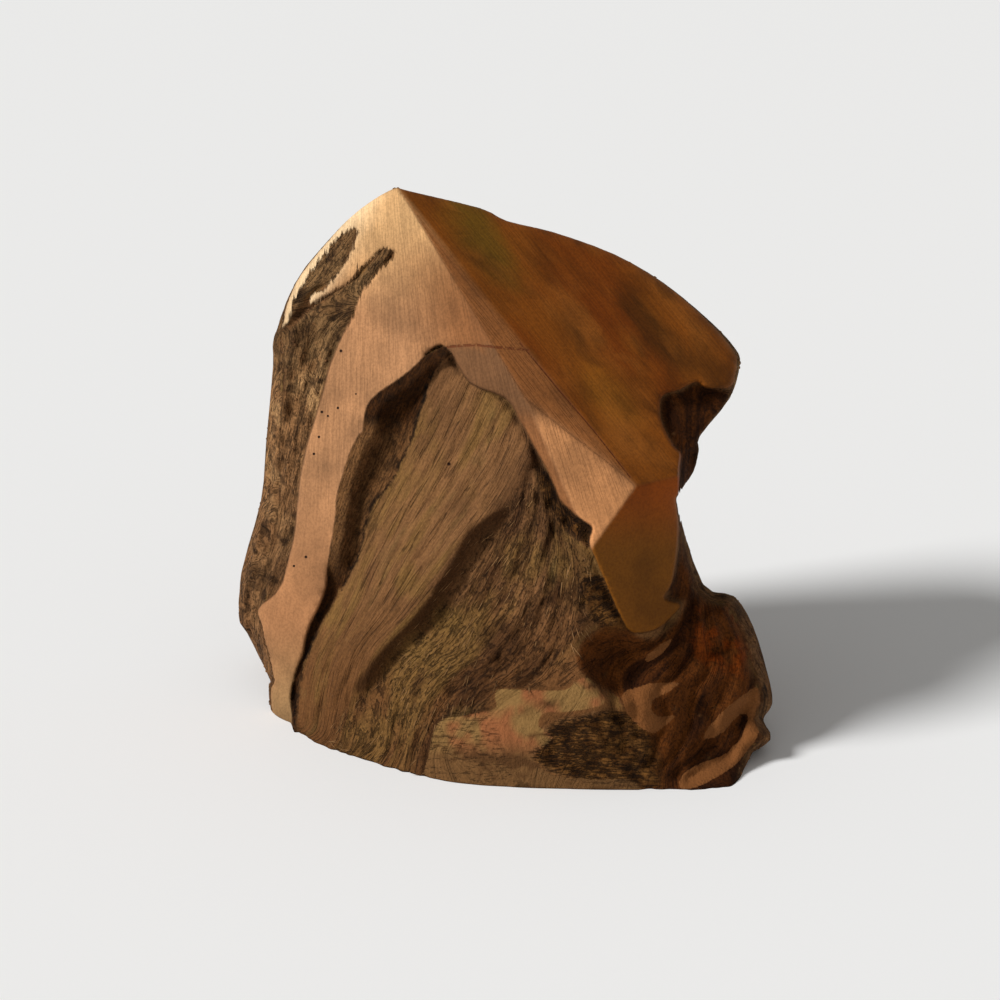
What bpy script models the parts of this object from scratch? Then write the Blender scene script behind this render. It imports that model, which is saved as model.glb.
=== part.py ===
"""Heather root: a burl of tree heath, sawn and sanded on several faces, weathered grain and bark between.

Metres, +Z up. The root stands on its sawn base. The origin is the middle of its box, on the floor.

The front is set out on a sheet that leans back from the vertical, as a carver hangs a drawing before
the block. A place on the sheet is (across, up, deep) in millimetres: deep is measured away from the eye,
behind the sheet. The surface is stretched over the lines drawn there, and the back is a lumpy burl
trimmed by saw cuts.
"""

import math

import bmesh
import bpy
import numpy as np

NODE = "heather_root"
MM = 0.001

# Driving dimensions, in millimetres
SHEET_LEAN = math.radians(20.0)
EYE_TO_SHEET = 750.0
EYE_UP = 72.5
MIDDLE_ACROSS = 0.03
MIDDLE_BACK = 51.01
BURL_MIDDLE = np.array([0.0, 44.0, 52.0])
BURL_RADII = np.array([80.0, 56.0, 106.0])
BURL_POWER = 3.0
SAW_DEPTH_BELOW = 2.0
BELOW_FLOOR = 30.0
SIDE_TAPER = 0.16
SIDE_CURVE = 0.0024
LUMPS = ((30.0, 5.0, 11), (13.0, 2.4, 12), (6.0, 1.0, 13))
LUMPS_START = 14.0
LATTICE = 32
BLEND_BURL = 8.0
BLEND_EDGES = 1.2
BLEND_CUTS = 0.8
NATURAL_STEP = 1.8
BLOCK_LOW = np.array([-76.0, -8.0, -6.0])
BLOCK_HIGH = np.array([76.0, 112.0, 146.0])
CELL = 1.1
SETTLING = 3
SETTLING_REACH = 0.4
SLOPE_REACH = 0.1
LEAST_SLOPE = 0.2
PINCH_ROUNDS = 6
PINCH_SIZE = 0.02
FACES = 10600

# Resolution of the sheet, in millimetres
SHEET_LOW = (-88.0, -24.0)
SHEET_HIGH = (88.0, 168.0)
SHEET_STEP = 1.0
COARSEST = 4
NATURAL_BLUR = 1.5
SAWN_BLUR = 3.0
RADIUS_BLUR = 3.0
FLOOR_RADIUS = 1.0
CURVE_PIECES = 6
EDGE_PIECES = 3
FURROW_PIECES = 4
DRAWING_STEP = 0.3
RELAXATIONS = 120
BLUR_REACH = 3
FAR_AWAY = 1e9

# Outline of the root on the sheet: across, up, deep, and the radius that the edge is rounded to.
# A radius of 0 marks where the front meets the floor.
OUTLINE = (
    (-25.75, 150.5, 9.5, 2.0), (-22.75, 149.75, 11.0, 1.5), (-5.0, 145.5, 17.5, 1.5),
    (1.75, 142.25, 18.7, 2.0), (13.25, 139.5, 23.0, 2.0), (28.5, 134.0, 27.6, 2.5),
    (41.0, 126.75, 29.4, 3.0), (52.5, 117.25, 29.1, 4.0), (58.75, 110.5, 27.8, 5.0),
    (60.0, 106.5, 25.7, 5.0), (57.5, 98.0, 20.0, 4.0), (50.0, 88.5, 12.0, 3.0), (49.75, 85.0, 11.0, 3.0),
    (48.4, 79.6, 8.0, 3.0), (45.0, 74.2, 4.5, 3.0), (44.5, 70.5, 5.0, 4.0), (50.75, 51.5, 13.0, 8.0),
    (58.5, 48.5, 17.0, 9.0), (63.25, 41.0, 18.0, 10.0), (66.75, 29.75, 18.0, 10.0),
    (68.25, 21.75, 17.0, 9.0), (65.75, 17.5, 15.0, 8.0), (68.0, 12.5, 13.0, 7.0), (60.75, 4.75, 5.0, 5.0),
    (58.5, 0.25, 0.7, 0.0), (34.0, 0.0, 0.0, 0.0), (-4.5, 1.0, 2.2, 0.0), (-22.25, 3.9, 8.6, 0.0),
    (-31.25, 6.3, 13.9, 0.0), (-44.75, 11.2, 25.0, 0.0), (-51.0, 14.6, 33.2, 0.0),
    (-57.75, 23.0, 46.0, 4.0), (-57.5, 27.5, 46.0, 6.0), (-63.25, 39.0, 46.0, 11.0),
    (-65.75, 43.5, 45.0, 13.0), (-64.75, 54.5, 42.0, 14.0), (-59.75, 72.5, 39.0, 12.0),
    (-58.5, 86.75, 37.0, 10.0), (-56.75, 106.0, 34.0, 9.0), (-56.5, 113.5, 33.5, 7.0),
    (-51.6, 126.6, 29.2, 4.0), (-41.9, 138.6, 22.2, 3.0), (-36.3, 144.1, 18.0, 2.0),
    (-31.9, 147.4, 14.6, 2.0), (-28.5, 149.4, 11.8, 2.0),
)

# Sawn faces as planes: deep = first + second * across + third * up
SAWN_PLANES = (
    (9.2, -0.675, -0.112),
    (-81.9, 0.551, 0.70),
    (-25.1, 0.018, 0.193),
    (-9.5, 0.80, -0.364),
    (-46.5, 0.179, 0.4015),
)

# Lines along the sawn faces, each (across, up, deep)
RIBBON_LEFT = (
    (-26.75, 134.25, 12.2), (-33.5, 126.0, 17.4), (-37.0, 118.0, 20.4), (-42.75, 105.5, 24.4),
    (-46.75, 91.25, 28.2), (-50.0, 77.75, 31.2), (-51.5, 63.5, 34.2), (-54.25, 52.25, 37.4),
    (-60.0, 45.25, 43.0), (-59.5, 35.75, 44.4), (-57.75, 25.0, 45.4),
)
RIBBON_RIGHT = (
    (-13.25, 111.0, 5.4), (-21.0, 106.25, 9.4), (-29.75, 99.75, 15.2), (-34.0, 93.75, 18.4),
    (-35.75, 88.0, 20.0), (-39.75, 77.25, 23.4), (-41.25, 67.5, 26.0), (-43.0, 56.75, 28.6),
    (-43.25, 51.0, 30.0), (-48.5, 37.5, 35.8), (-51.75, 25.0, 40.4), (-51.6, 15.6, 35.0),
)
SHADE_FACE = (
    (22.6, 62.0, -14.0), (26.0, 53.5, -9.4), (30.25, 43.0, -4.0), (36.5, 40.0, 1.6), (42.5, 44.0, 6.0),
    (44.0, 60.0, 4.6), (44.6, 72.0, 1.6),
)
ROOF_FAR = (
    (-5.0, 145.5, 17.2), (28.5, 134.0, 27.6), (50.0, 116.0, 27.0), (55.0, 106.0, 22.6), (48.0, 97.0, 12.6),
)
SAWN_LINES = (RIBBON_LEFT, RIBBON_RIGHT, SHADE_FACE, ROOF_FAR)

# Edge of the sawn faces on the sheet: across, up. It runs past the outline where they reach it.
SAWN_EDGE = (
    (-25.0, 156.0), (-36.0, 150.0), (-46.0, 141.0), (-54.0, 129.0), (-60.0, 118.0), (-56.0, 114.5),
    (-52.25, 117.8), (-50.2, 120.5), (-48.2, 122.2), (-47.3, 121.2), (-45.6, 122.4), (-41.2, 124.8),
    (-37.2, 127.3), (-34.6, 130.3), (-31.6, 133.4), (-29.0, 135.4), (-26.6, 134.7), (-27.5, 132.4),
    (-30.6, 129.3), (-33.5, 126.0), (-35.25, 122.75), (-37.0, 118.0), (-39.25, 114.0), (-41.0, 110.0),
    (-42.75, 105.5), (-44.0, 100.5), (-45.5, 95.5), (-46.75, 91.25), (-48.25, 86.25), (-50.0, 77.75),
    (-50.75, 70.25), (-51.5, 63.5), (-53.0, 57.25), (-54.25, 52.25), (-56.5, 48.75), (-60.5, 45.25),
    (-59.75, 41.25), (-59.5, 35.75), (-58.25, 32.75), (-57.25, 27.75), (-58.5, 22.0), (-56.0, 14.0),
    (-52.6, 10.0), (-52.0, 17.0), (-52.25, 22.5), (-51.75, 26.5), (-50.75, 30.0), (-49.0, 34.5),
    (-48.5, 37.5), (-47.25, 41.5), (-45.0, 46.0), (-43.25, 51.0), (-43.0, 56.75), (-42.0, 63.0),
    (-41.25, 67.5), (-40.75, 73.75), (-39.75, 77.25), (-37.75, 83.5), (-35.75, 88.0), (-34.25, 89.75),
    (-34.0, 92.5), (-33.0, 96.5), (-29.75, 99.75), (-25.25, 102.75), (-21.0, 106.25), (-17.25, 110.0),
    (-13.25, 110.6), (-7.5, 101.75), (1.25, 98.0), (5.25, 92.0), (8.0, 87.0), (11.75, 80.0),
    (13.25, 76.75), (15.0, 72.5), (18.0, 69.5), (20.75, 67.25), (23.0, 65.5), (22.25, 62.0), (23.75, 58.0),
    (26.0, 52.75), (28.0, 48.0), (30.5, 42.75), (32.75, 39.5), (36.5, 39.5), (40.0, 40.75), (42.75, 43.25),
    (45.25, 46.5), (41.0, 48.0), (43.0, 51.75), (44.25, 59.0), (44.75, 65.75), (44.75, 73.5), (45.0, 81.5),
    (45.25, 84.25), (43.25, 86.25), (41.0, 90.5), (40.0, 93.75), (40.5, 98.5), (44.75, 100.0),
    (49.0, 102.0), (51.5, 100.5), (57.25, 100.5), (59.5, 102.5), (68.0, 104.0), (66.0, 114.0),
    (50.0, 128.0), (20.0, 146.0), (-10.0, 153.0),
)
SMALL_PATCH = (
    (-36.8, 140.0), (-38.6, 134.4), (-40.2, 131.4), (-43.0, 127.8), (-44.8, 125.4), (-46.8, 125.0),
    (-49.0, 121.2), (-52.4, 116.6), (-51.4, 120.0), (-49.2, 124.4), (-46.6, 129.2), (-44.4, 132.4),
    (-42.0, 135.6), (-39.4, 138.6),
)

# Lines along the natural surface, each (across, up, deep)
BARK_GROOVE = (
    (-29.4, 133.5, 14.8), (-33.5, 129.2, 18.4), (-37.8, 124.0, 22.6), (-41.2, 117.0, 26.2),
    (-45.5, 105.0, 30.0), (-49.2, 91.0, 33.4), (-52.2, 78.0, 36.2), (-53.8, 64.0, 38.6),
    (-57.0, 53.5, 42.0), (-62.4, 45.0, 46.0),
)
PATCH_FLOOR = ((-39.5, 136.5, 21.0), (-43.5, 131.5, 24.2), (-48.0, 125.0, 28.2), (-51.4, 119.4, 31.4))
POCKET_FLOOR = (
    (-14.4, 108.6, 9.5), (-20.6, 101.6, 14.6), (-28.0, 95.0, 19.2), (-32.0, 84.0, 23.0),
    (-37.4, 69.0, 27.6), (-39.6, 58.75, 31.0), (-41.4, 50.0, 33.0), (-46.0, 41.25, 37.0),
    (-49.4, 33.0, 40.0), (-51.0, 22.5, 41.8),
)
POCKET_RIGHT = (
    (-12.5, 107.0, 6.8), (-16.0, 104.0, 10.0), (-18.8, 96.5, 12.4), (-22.0, 86.75, 15.2),
    (-26.6, 77.0, 18.6), (-32.0, 70.0, 23.2), (-34.0, 60.25, 25.4), (-38.0, 51.5, 29.0),
    (-45.4, 38.0, 34.6), (-48.6, 31.0, 37.0), (-50.0, 20.0, 37.8),
)
POCKET_FAR = (
    (-13.6, 107.8, 9.5), (-18.0, 103.4, 14.2), (-21.8, 96.0, 18.0), (-25.4, 87.0, 20.8),
    (-30.0, 77.6, 24.0), (-34.6, 69.8, 27.0), (-36.8, 60.2, 29.8), (-39.8, 51.4, 32.6),
)
GRAIN_CREST = (
    (-5.5, 97.5, 3.6), (-12.5, 80.0, 8.0), (-20.0, 65.0, 12.0), (-28.75, 50.0, 18.0), (-38.75, 32.5, 26.0),
    (-45.0, 17.0, 30.0),
)
CREASE_LIP = (
    (0.0, 70.75, 0.8), (-5.25, 67.5, 2.2), (-9.0, 63.5, 3.6), (-14.75, 53.25, 8.0), (-21.0, 44.25, 12.2),
    (-29.75, 35.5, 19.0), (-35.75, 26.75, 23.4),
)
CREASE_FLOOR = (
    (1.8, 68.8, 2.4), (-2.0, 65.0, 7.4), (-5.4, 60.8, 10.0), (-11.0, 50.8, 13.8), (-17.2, 42.0, 17.6),
    (-26.0, 33.0, 22.8), (-32.4, 24.6, 25.6),
)
UNDER_TONGUE = (
    (-9.0, 100.4, 2.8), (0.0, 96.0, -1.0), (4.4, 91.0, -2.2), (7.0, 86.0, -3.4), (10.4, 79.4, -4.6),
    (13.4, 72.5, -5.0), (17.0, 68.2, -6.0), (20.6, 64.4, -8.6), (21.0, 61.0, -10.0), (22.6, 57.0, -8.6),
    (24.8, 51.8, -6.4), (29.2, 42.0, -2.0), (32.0, 37.6, 2.4), (37.0, 37.6, 4.6), (42.6, 41.4, 8.6),
)
HAIR_CREST = ((5.0, 74.0, -1.4), (8.0, 60.0, -1.6), (14.0, 48.0, -2.6), (12.0, 35.0, -1.6))
HAIR_EDGE = ((19.4, 52.0, -5.4), (21.0, 43.0, -4.4), (18.4, 34.0, -4.6))
HAIR_LOW = ((0.0, 44.0, 4.6), (-10.0, 34.0, 9.0), (-17.5, 24.0, 12.2), (-25.0, 18.0, 16.0))
STRIP_TOP = ((-6.0, 24.5, 2.8), (10.0, 24.5, -2.4), (22.0, 24.5, -5.4))
STRIP_LOW = ((-15.0, 8.0, 6.0), (8.0, 8.0, -0.4), (26.0, 8.0, -2.6), (40.0, 6.0, -1.4))
NECK_GROOVE = (
    (42.6, 47.6, 9.6), (44.8, 51.6, 9.8), (46.0, 59.0, 9.4), (46.4, 66.0, 8.4), (46.6, 74.0, 8.0),
)
EAVES_HOLLOW = (
    (43.6, 88.0, 6.6), (42.8, 93.0, 9.0), (44.0, 97.0, 13.4), (48.0, 97.4, 18.0), (54.0, 98.0, 22.4),
)
ROOT_HOLLOW = (
    (23.0, 34.5, 0.6), (24.2, 30.5, 1.0), (27.2, 26.4, 2.2), (30.6, 25.8, 3.4), (34.0, 28.8, 5.4),
    (33.0, 32.5, 5.8), (29.0, 35.4, 4.6), (25.6, 36.8, 2.0), (23.0, 34.5, 0.6),
)
ROOT_HOLLOW_RIM = (
    (19.8, 33.0, -4.6), (21.6, 28.0, -5.2), (25.8, 22.2, -5.8), (30.4, 21.4, -4.4), (37.0, 24.6, -0.6),
)
HOOK_GROOVE = ((39.6, 20.8, 2.0), (43.0, 22.4, 4.4), (47.4, 26.2, 7.0))
ARC_GROOVE = ((60.0, 17.4, 13.4), (54.6, 12.0, 9.4), (49.6, 8.6, 6.4))
WORN_BEND = (
    (45.0, 25.6, 3.4), (37.6, 22.0, -1.0), (34.0, 15.6, -2.8), (38.0, 12.6, -1.4), (43.0, 17.0, 1.4),
)
WORN_BOW = ((50.0, 13.0, 4.4), (57.0, 21.6, 9.8), (63.0, 24.0, 14.4), (61.0, 13.0, 10.6), (47.0, 2.6, 1.4))
BARK_FOLD = (
    (49.0, 52.0, 12.4), (47.6, 45.0, 9.4), (44.0, 38.0, 8.2), (47.6, 30.0, 7.8), (53.0, 17.6, 9.8),
)
BARK_CHEEK = ((52.6, 44.0, 11.0), (58.0, 36.0, 12.6), (60.0, 29.0, 13.0))
NATURAL_LINES = (
    BARK_GROOVE, PATCH_FLOOR, POCKET_FLOOR, POCKET_FAR, POCKET_RIGHT, GRAIN_CREST, CREASE_LIP,
    CREASE_FLOOR, UNDER_TONGUE, HAIR_CREST, HAIR_EDGE, HAIR_LOW, STRIP_TOP, STRIP_LOW, NECK_GROOVE,
    EAVES_HOLLOW, ROOT_HOLLOW, ROOT_HOLLOW_RIM, HOOK_GROOVE, ARC_GROOVE, WORN_BEND, WORN_BOW, BARK_FOLD,
    BARK_CHEEK,
)

# Furrows that follow the growth: the first line, the last line, how many, their depth and half-width
GRAIN_LEFT = (
    (-14.5, 106.0), (-21.0, 92.0), (-27.0, 79.0), (-35.5, 62.0), (-43.0, 44.0), (-49.0, 30.0),
    (-51.0, 15.0),
)
GRAIN_RIGHT = (
    (8.5, 90.0), (2.5, 77.5), (-4.5, 66.8), (-14.5, 54.0), (-22.0, 44.5), (-32.0, 33.0), (-38.0, 12.0),
)
HAIR_FIRST = (
    (9.5, 87.0), (5.5, 78.0), (2.0, 69.5), (-6.0, 55.0), (-16.0, 40.0), (-28.0, 28.0), (-32.0, 10.0),
)
HAIR_LAST = (
    (13.0, 80.0), (16.5, 69.0), (20.0, 56.0), (18.5, 40.0), (12.0, 28.0), (0.0, 20.0), (-10.0, 8.0),
)
COIL_FIRST = (
    (47.0, 84.0), (46.0, 68.0), (44.0, 50.0), (38.0, 37.0), (33.6, 37.0), (24.0, 32.0), (26.0, 24.0),
    (30.0, 10.0),
)
COIL_LAST = (
    (49.6, 84.0), (48.0, 62.0), (56.0, 49.0), (61.5, 41.0), (66.0, 28.0), (64.0, 16.0), (60.0, 7.0),
    (48.0, 2.0),
)
FLANK_FIRST = (
    (-33.0, 130.0), (-39.0, 121.0), (-45.0, 105.0), (-49.0, 90.0), (-52.5, 76.0), (-54.5, 62.0),
    (-61.0, 47.0), (-60.0, 34.0),
)
FLANK_LAST = (
    (-50.0, 119.0), (-56.0, 112.0), (-57.0, 98.0), (-58.0, 86.0), (-60.0, 72.0), (-65.0, 54.0),
    (-65.0, 42.0), (-61.0, 32.0),
)
FURROWS = (
    (GRAIN_LEFT, GRAIN_RIGHT, 8, 0.8, 0.9),
    (HAIR_FIRST, HAIR_LAST, 8, 0.7, 1.0),
    (COIL_FIRST, COIL_LAST, 6, 1.4, 1.3),
    (FLANK_FIRST, FLANK_LAST, 4, 1.0, 1.1),
)
FURROW_WANDER = 0.5
FURROW_SEED = 31
FURROW_DEPTHS = (0.6, 1.2)

# Knobs and pits of the bark: across, up, height towards the eye, and radius
KNOBS = (
    (57.0, 45.5, 2.6, 3.2), (62.0, 37.0, 2.2, 3.4), (65.5, 27.0, 2.4, 3.4), (58.0, 30.0, 1.8, 3.6),
    (51.0, 39.0, 2.2, 3.4), (66.0, 14.0, 2.6, 3.0), (60.5, 19.0, -1.8, 2.4), (54.5, 34.5, -2.0, 2.0),
    (49.5, 25.0, 1.6, 3.0), (46.0, 8.0, 1.4, 3.0), (56.0, 8.5, -1.6, 2.6), (44.0, 31.5, -2.0, 2.2),
    (-62.0, 52.0, 1.8, 3.6), (-62.5, 42.0, 1.6, 3.0), (-57.0, 68.0, 1.8, 3.6), (-54.5, 83.0, 1.4, 3.0),
    (-58.5, 60.0, -1.8, 2.4), (-55.0, 96.0, 1.6, 3.2), (-51.5, 103.0, -1.4, 2.4), (-50.0, 111.0, 1.4, 3.0),
    (-56.0, 76.0, -1.6, 2.2), (12.5, 71.5, -2.4, 1.8), (17.5, 67.0, -2.6, 1.8), (21.0, 47.0, -1.6, 2.2),
    (-12.0, 24.5, -2.0, 2.0), (-17.0, 30.0, 1.2, 4.0), (1.0, 32.0, -1.6, 1.8), (12.0, 46.5, -1.4, 1.8),
    (13.0, 10.0, -1.4, 3.6), (24.0, 13.0, 1.2, 3.4),
)

# Flat saw cut through the back: outward normal, and distance from the burl's middle
BACK_CUTS = (((-0.36, 0.90, 0.25), 61.0),)

WOOD_COLOUR = (0.29, 0.15, 0.07, 1.0)
WOOD_ROUGHNESS = 0.75
SHARP_ANGLE = math.radians(40)


def clear_scene():
    for other in list(bpy.data.objects):
        bpy.data.objects.remove(other)


def smooth_line(points, closed=False, pieces=CURVE_PIECES):
    """The points joined by a Catmull-Rom curve, with so many pieces from each to the next."""
    p = np.array(points, float)
    if closed:
        before, start, end, after = np.roll(p, 1, 0), p, np.roll(p, -1, 0), np.roll(p, -2, 0)
    else:
        longer = np.vstack((2 * p[0] - p[1], p, 2 * p[-1] - p[-2]))
        before, start, end, after = longer[:-3], longer[1:-2], longer[2:-1], longer[3:]
    made = []
    for t in np.arange(pieces) / pieces:
        bend = 2 * start + (end - before) * t
        bend = bend + (2 * before - 5 * start + 4 * end - after) * t**2
        bend = bend + (3 * start - before - 3 * end + after) * t**3
        made.append(bend / 2)
    line = np.stack(made, 1).reshape(-1, p.shape[1])
    return line if closed else np.vstack((line, p[-1]))


def sheet_nodes(step):
    """Rows of the sheet's nodes at this spacing: across and up, each as a grid."""
    across = np.arange(SHEET_LOW[0], SHEET_HIGH[0] + step / 2, step)
    up = np.arange(SHEET_LOW[1], SHEET_HIGH[1] + step / 2, step)
    return np.meshgrid(across, up)


def read_sheet(values, step, across, up):
    """Values of a grid at these places, read between its nodes."""
    rows, columns = values.shape
    x = np.clip((across - SHEET_LOW[0]) / step, 0, columns - 1.001)
    y = np.clip((up - SHEET_LOW[1]) / step, 0, rows - 1.001)
    i, j = y.astype(int), x.astype(int)
    fx, fy = x - j, y - i
    low = values[i, j] * (1 - fx) + values[i, j + 1] * fx
    high = values[i + 1, j] * (1 - fx) + values[i + 1, j + 1] * fx
    return low * (1 - fy) + high * fy


def draw_on_sheet(lines, step):
    """The depths drawn on the sheet's nodes, and where there is one."""
    across, up = sheet_nodes(step)
    total, count = np.zeros(across.shape), np.zeros(across.shape)
    for line in lines:
        for start, end in zip(line[:-1], line[1:]):
            parts = max(1, int(np.linalg.norm(end[:2] - start[:2]) / (DRAWING_STEP * step)))
            for t in np.arange(parts + 1) / parts:
                place = start + (end - start) * t
                j = int(round((place[0] - SHEET_LOW[0]) / step))
                i = int(round((place[1] - SHEET_LOW[1]) / step))
                total[i, j] += place[2]
                count[i, j] += 1
    return total / np.maximum(count, 1), count > 0


def stretch_over(lines, step):
    """A skin stretched over the drawn lines: each free node lies at the mean of its four neighbours."""
    depth = None
    for level in range(COARSEST, -1, -1):
        spacing = step * 2**level
        drawn, fixed = draw_on_sheet(lines, spacing)
        across, up = sheet_nodes(spacing)
        if depth is None:
            depth = np.full(across.shape, drawn[fixed].mean())
        else:
            depth = read_sheet(depth, 2 * spacing, across, up)
        for _ in range(RELAXATIONS):
            wide = np.pad(depth, 1, mode="edge")
            mean = (wide[:-2, 1:-1] + wide[2:, 1:-1] + wide[1:-1, :-2] + wide[1:-1, 2:]) / 4
            depth = np.where(fixed, drawn, mean)
    return depth


def blur(values, sigma, step):
    """Gaussian blur of a sheet grid."""
    reach = max(1, int(BLUR_REACH * sigma / step))
    weights = np.exp(-0.5 * (np.arange(-reach, reach + 1) * step / sigma) ** 2)
    weights /= weights.sum()
    for axis in (0, 1):
        width = [(0, 0), (0, 0)]
        width[axis] = (reach, reach)
        wide = np.pad(values, width, mode="edge")
        values = np.apply_along_axis(np.convolve, axis, wide, weights, "valid")
    return values


def away_from(line, step):
    """How far each node of the sheet lies from a line, and the last number of the line nearest to it."""
    across, up = sheet_nodes(step)
    nearest, carried = np.full(across.shape, FAR_AWAY), np.zeros(across.shape)
    for start, end in zip(line[:-1], line[1:]):
        run, rise = end[0] - start[0], end[1] - start[1]
        t = np.clip(((across - start[0]) * run + (up - start[1]) * rise) / (run**2 + rise**2), 0, 1)
        away = np.hypot(across - start[0] - t * run, up - start[1] - t * rise)
        closer = away < nearest
        nearest = np.where(closer, away, nearest)
        carried = np.where(closer, start[-1] + t * (end[-1] - start[-1]), carried)
    return nearest, carried


def inside(edge, step):
    """How far each node lies inside a closed edge, and the last number of the edge nearest to it."""
    across, up = sheet_nodes(step)
    within = np.zeros(across.shape, bool)
    for start, end in zip(edge, np.roll(edge, -1, 0)):
        if start[1] != end[1]:
            crosses = (start[1] > up) != (end[1] > up)
            slope = (end[0] - start[0]) / (end[1] - start[1])
            within ^= crosses & (across < start[0] + (up - start[1]) * slope)
    nearest, carried = away_from(np.vstack((edge, edge[:1])), step)
    return np.where(within, nearest, -nearest), carried


def furrows(step):
    """How much deeper the furrows make each node of the sheet."""
    random = np.random.default_rng(FURROW_SEED)
    total = 0
    for first, last, number, depth, width in FURROWS:
        first, last = smooth_line(first, pieces=FURROW_PIECES), smooth_line(last, pieces=FURROW_PIECES)
        for k in range(number):
            share = (k + 0.5) / number
            middle = first + (last - first) * share + random.normal(0, FURROW_WANDER, first.shape)
            away, _ = away_from(middle, step)
            total = total + depth * random.uniform(*FURROW_DEPTHS) * np.exp(-((away / width) ** 2))
    return total


def knobs(step):
    """How much nearer the knobs bring each node of the sheet."""
    across, up = sheet_nodes(step)
    total = 0
    for x, y, height, radius in KNOBS:
        total = total + height * np.exp(-((across - x) ** 2 + (up - y) ** 2) / radius**2)
    return total


def inside_outline(step):
    """How far each node lies inside the outline, carried on below the floor, and the edge's radius there."""
    drawn = [(x, y, radius) if radius else (x, y - BELOW_FLOOR, FLOOR_RADIUS) for x, y, _, radius in OUTLINE]
    inset, radius = inside(smooth_line(drawn, closed=True, pieces=EDGE_PIECES), step)
    return inset, blur(radius, RADIUS_BLUR, step)


def lump_noise(points, cell, seed):
    """Smooth noise from -1 to 1, from random numbers on a cubic lattice."""
    lattice = np.random.default_rng(seed).uniform(-1, 1, (LATTICE, LATTICE, LATTICE))
    scaled = points / cell
    base = np.floor(scaled).astype(int)
    part = scaled - base
    part = part * part * (3 - 2 * part)
    total = 0
    for corner in np.ndindex(2, 2, 2):
        weight = np.prod(np.where(corner, part, 1 - part), axis=1)
        i, j, k = ((base + corner) % LATTICE).T
        total = total + weight * lattice[i, j, k]
    return total


def soft_max(a, b, width):
    """The larger of two, with the corner between them rounded over this width."""
    near = np.maximum(width - np.abs(a - b), 0) / width
    return np.maximum(a, b) + near**2 * width / 4


def on_sheet(points):
    """Where points of the block, measured from the middle of its foremost edge, show on the sheet."""
    x, y, z = points.T
    deep = y * math.cos(SHEET_LEAN) - z * math.sin(SHEET_LEAN)
    up = y * math.sin(SHEET_LEAN) + z * math.cos(SHEET_LEAN)
    scale = EYE_TO_SHEET / (EYE_TO_SHEET + deep)
    return x * scale, EYE_UP + (up - EYE_UP) * scale, deep


def sawn_planes(across, up):
    """The foremost faces that the saw left, as depths."""
    depth = None
    for first, second, third in SAWN_PLANES:
        plane = first + second * across + third * up
        depth = plane if depth is None else soft_max(depth, plane, BLEND_CUTS)
    return depth


def above_planes(line):
    """A line whose depths are measured from the sawn planes."""
    line = smooth_line(line)
    line[:, 2] -= sawn_planes(line[:, 0], line[:, 1])
    return line


class RootForm:
    """The root as a test of a point: negative inside, positive outside, in millimetres."""

    def __init__(self, step):
        self.step = step
        edge_line = smooth_line([row[:3] for row in OUTLINE], closed=True, pieces=EDGE_PIECES)
        edge_line = np.vstack((edge_line, edge_line[:1]))
        natural = [smooth_line(line) for line in NATURAL_LINES] + [edge_line]
        self.natural = blur(stretch_over(natural, step), NATURAL_BLUR, step) + furrows(step) - knobs(step)
        self.swell = blur(stretch_over([above_planes(line) for line in SAWN_LINES], step), SAWN_BLUR, step)
        sawn, _ = inside(smooth_line(SAWN_EDGE, closed=True, pieces=EDGE_PIECES), step)
        patch, _ = inside(smooth_line(SMALL_PATCH, closed=True, pieces=EDGE_PIECES), step)
        self.sawn = np.minimum(sawn, -patch)
        self.inset, self.radius = inside_outline(step)

    def front(self, across, up):
        """Depth of the front."""
        sawn = sawn_planes(across, up) + read_sheet(self.swell, self.step, across, up)
        natural = read_sheet(self.natural, self.step, across, up)
        part = np.clip(read_sheet(self.sawn, self.step, across, up) / NATURAL_STEP + 0.5, 0, 1)
        return natural + (sawn - natural) * part * part * (3 - 2 * part)

    def outside(self, points):
        across, up, deep = on_sheet(points)
        behind = deep - self.front(across, up)
        inset = read_sheet(self.inset, self.step, across, up)
        radius = read_sheet(self.radius, self.step, across, up)
        lumps = sum(height * lump_noise(points, cell, seed) for cell, height, seed in LUMPS)
        turn = np.clip(radius - behind, 0, radius)
        past = np.maximum(behind - radius, 0)
        rounding = radius - np.sqrt(radius**2 - turn**2)
        fade = np.clip(past / LUMPS_START, 0, 1)
        narrower = SIDE_TAPER * past + SIDE_CURVE * past**2
        side = rounding + np.maximum(narrower + lumps * fade, 0) - inset
        from_middle = np.abs((points - BURL_MIDDLE) / BURL_RADII)
        burl = ((from_middle**BURL_POWER).sum(1) ** (1 / BURL_POWER) - 1) * BURL_RADII.mean() + lumps
        body = soft_max(soft_max(side, burl, BLEND_BURL), -behind, BLEND_EDGES)
        for normal, distance in BACK_CUTS:
            facing = np.array(normal) / np.linalg.norm(normal)
            body = soft_max(body, (points - BURL_MIDDLE) @ facing - distance, BLEND_CUTS)
        return soft_max(body, -points[:, 2] - SAW_DEPTH_BELOW, BLEND_CUTS)


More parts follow.
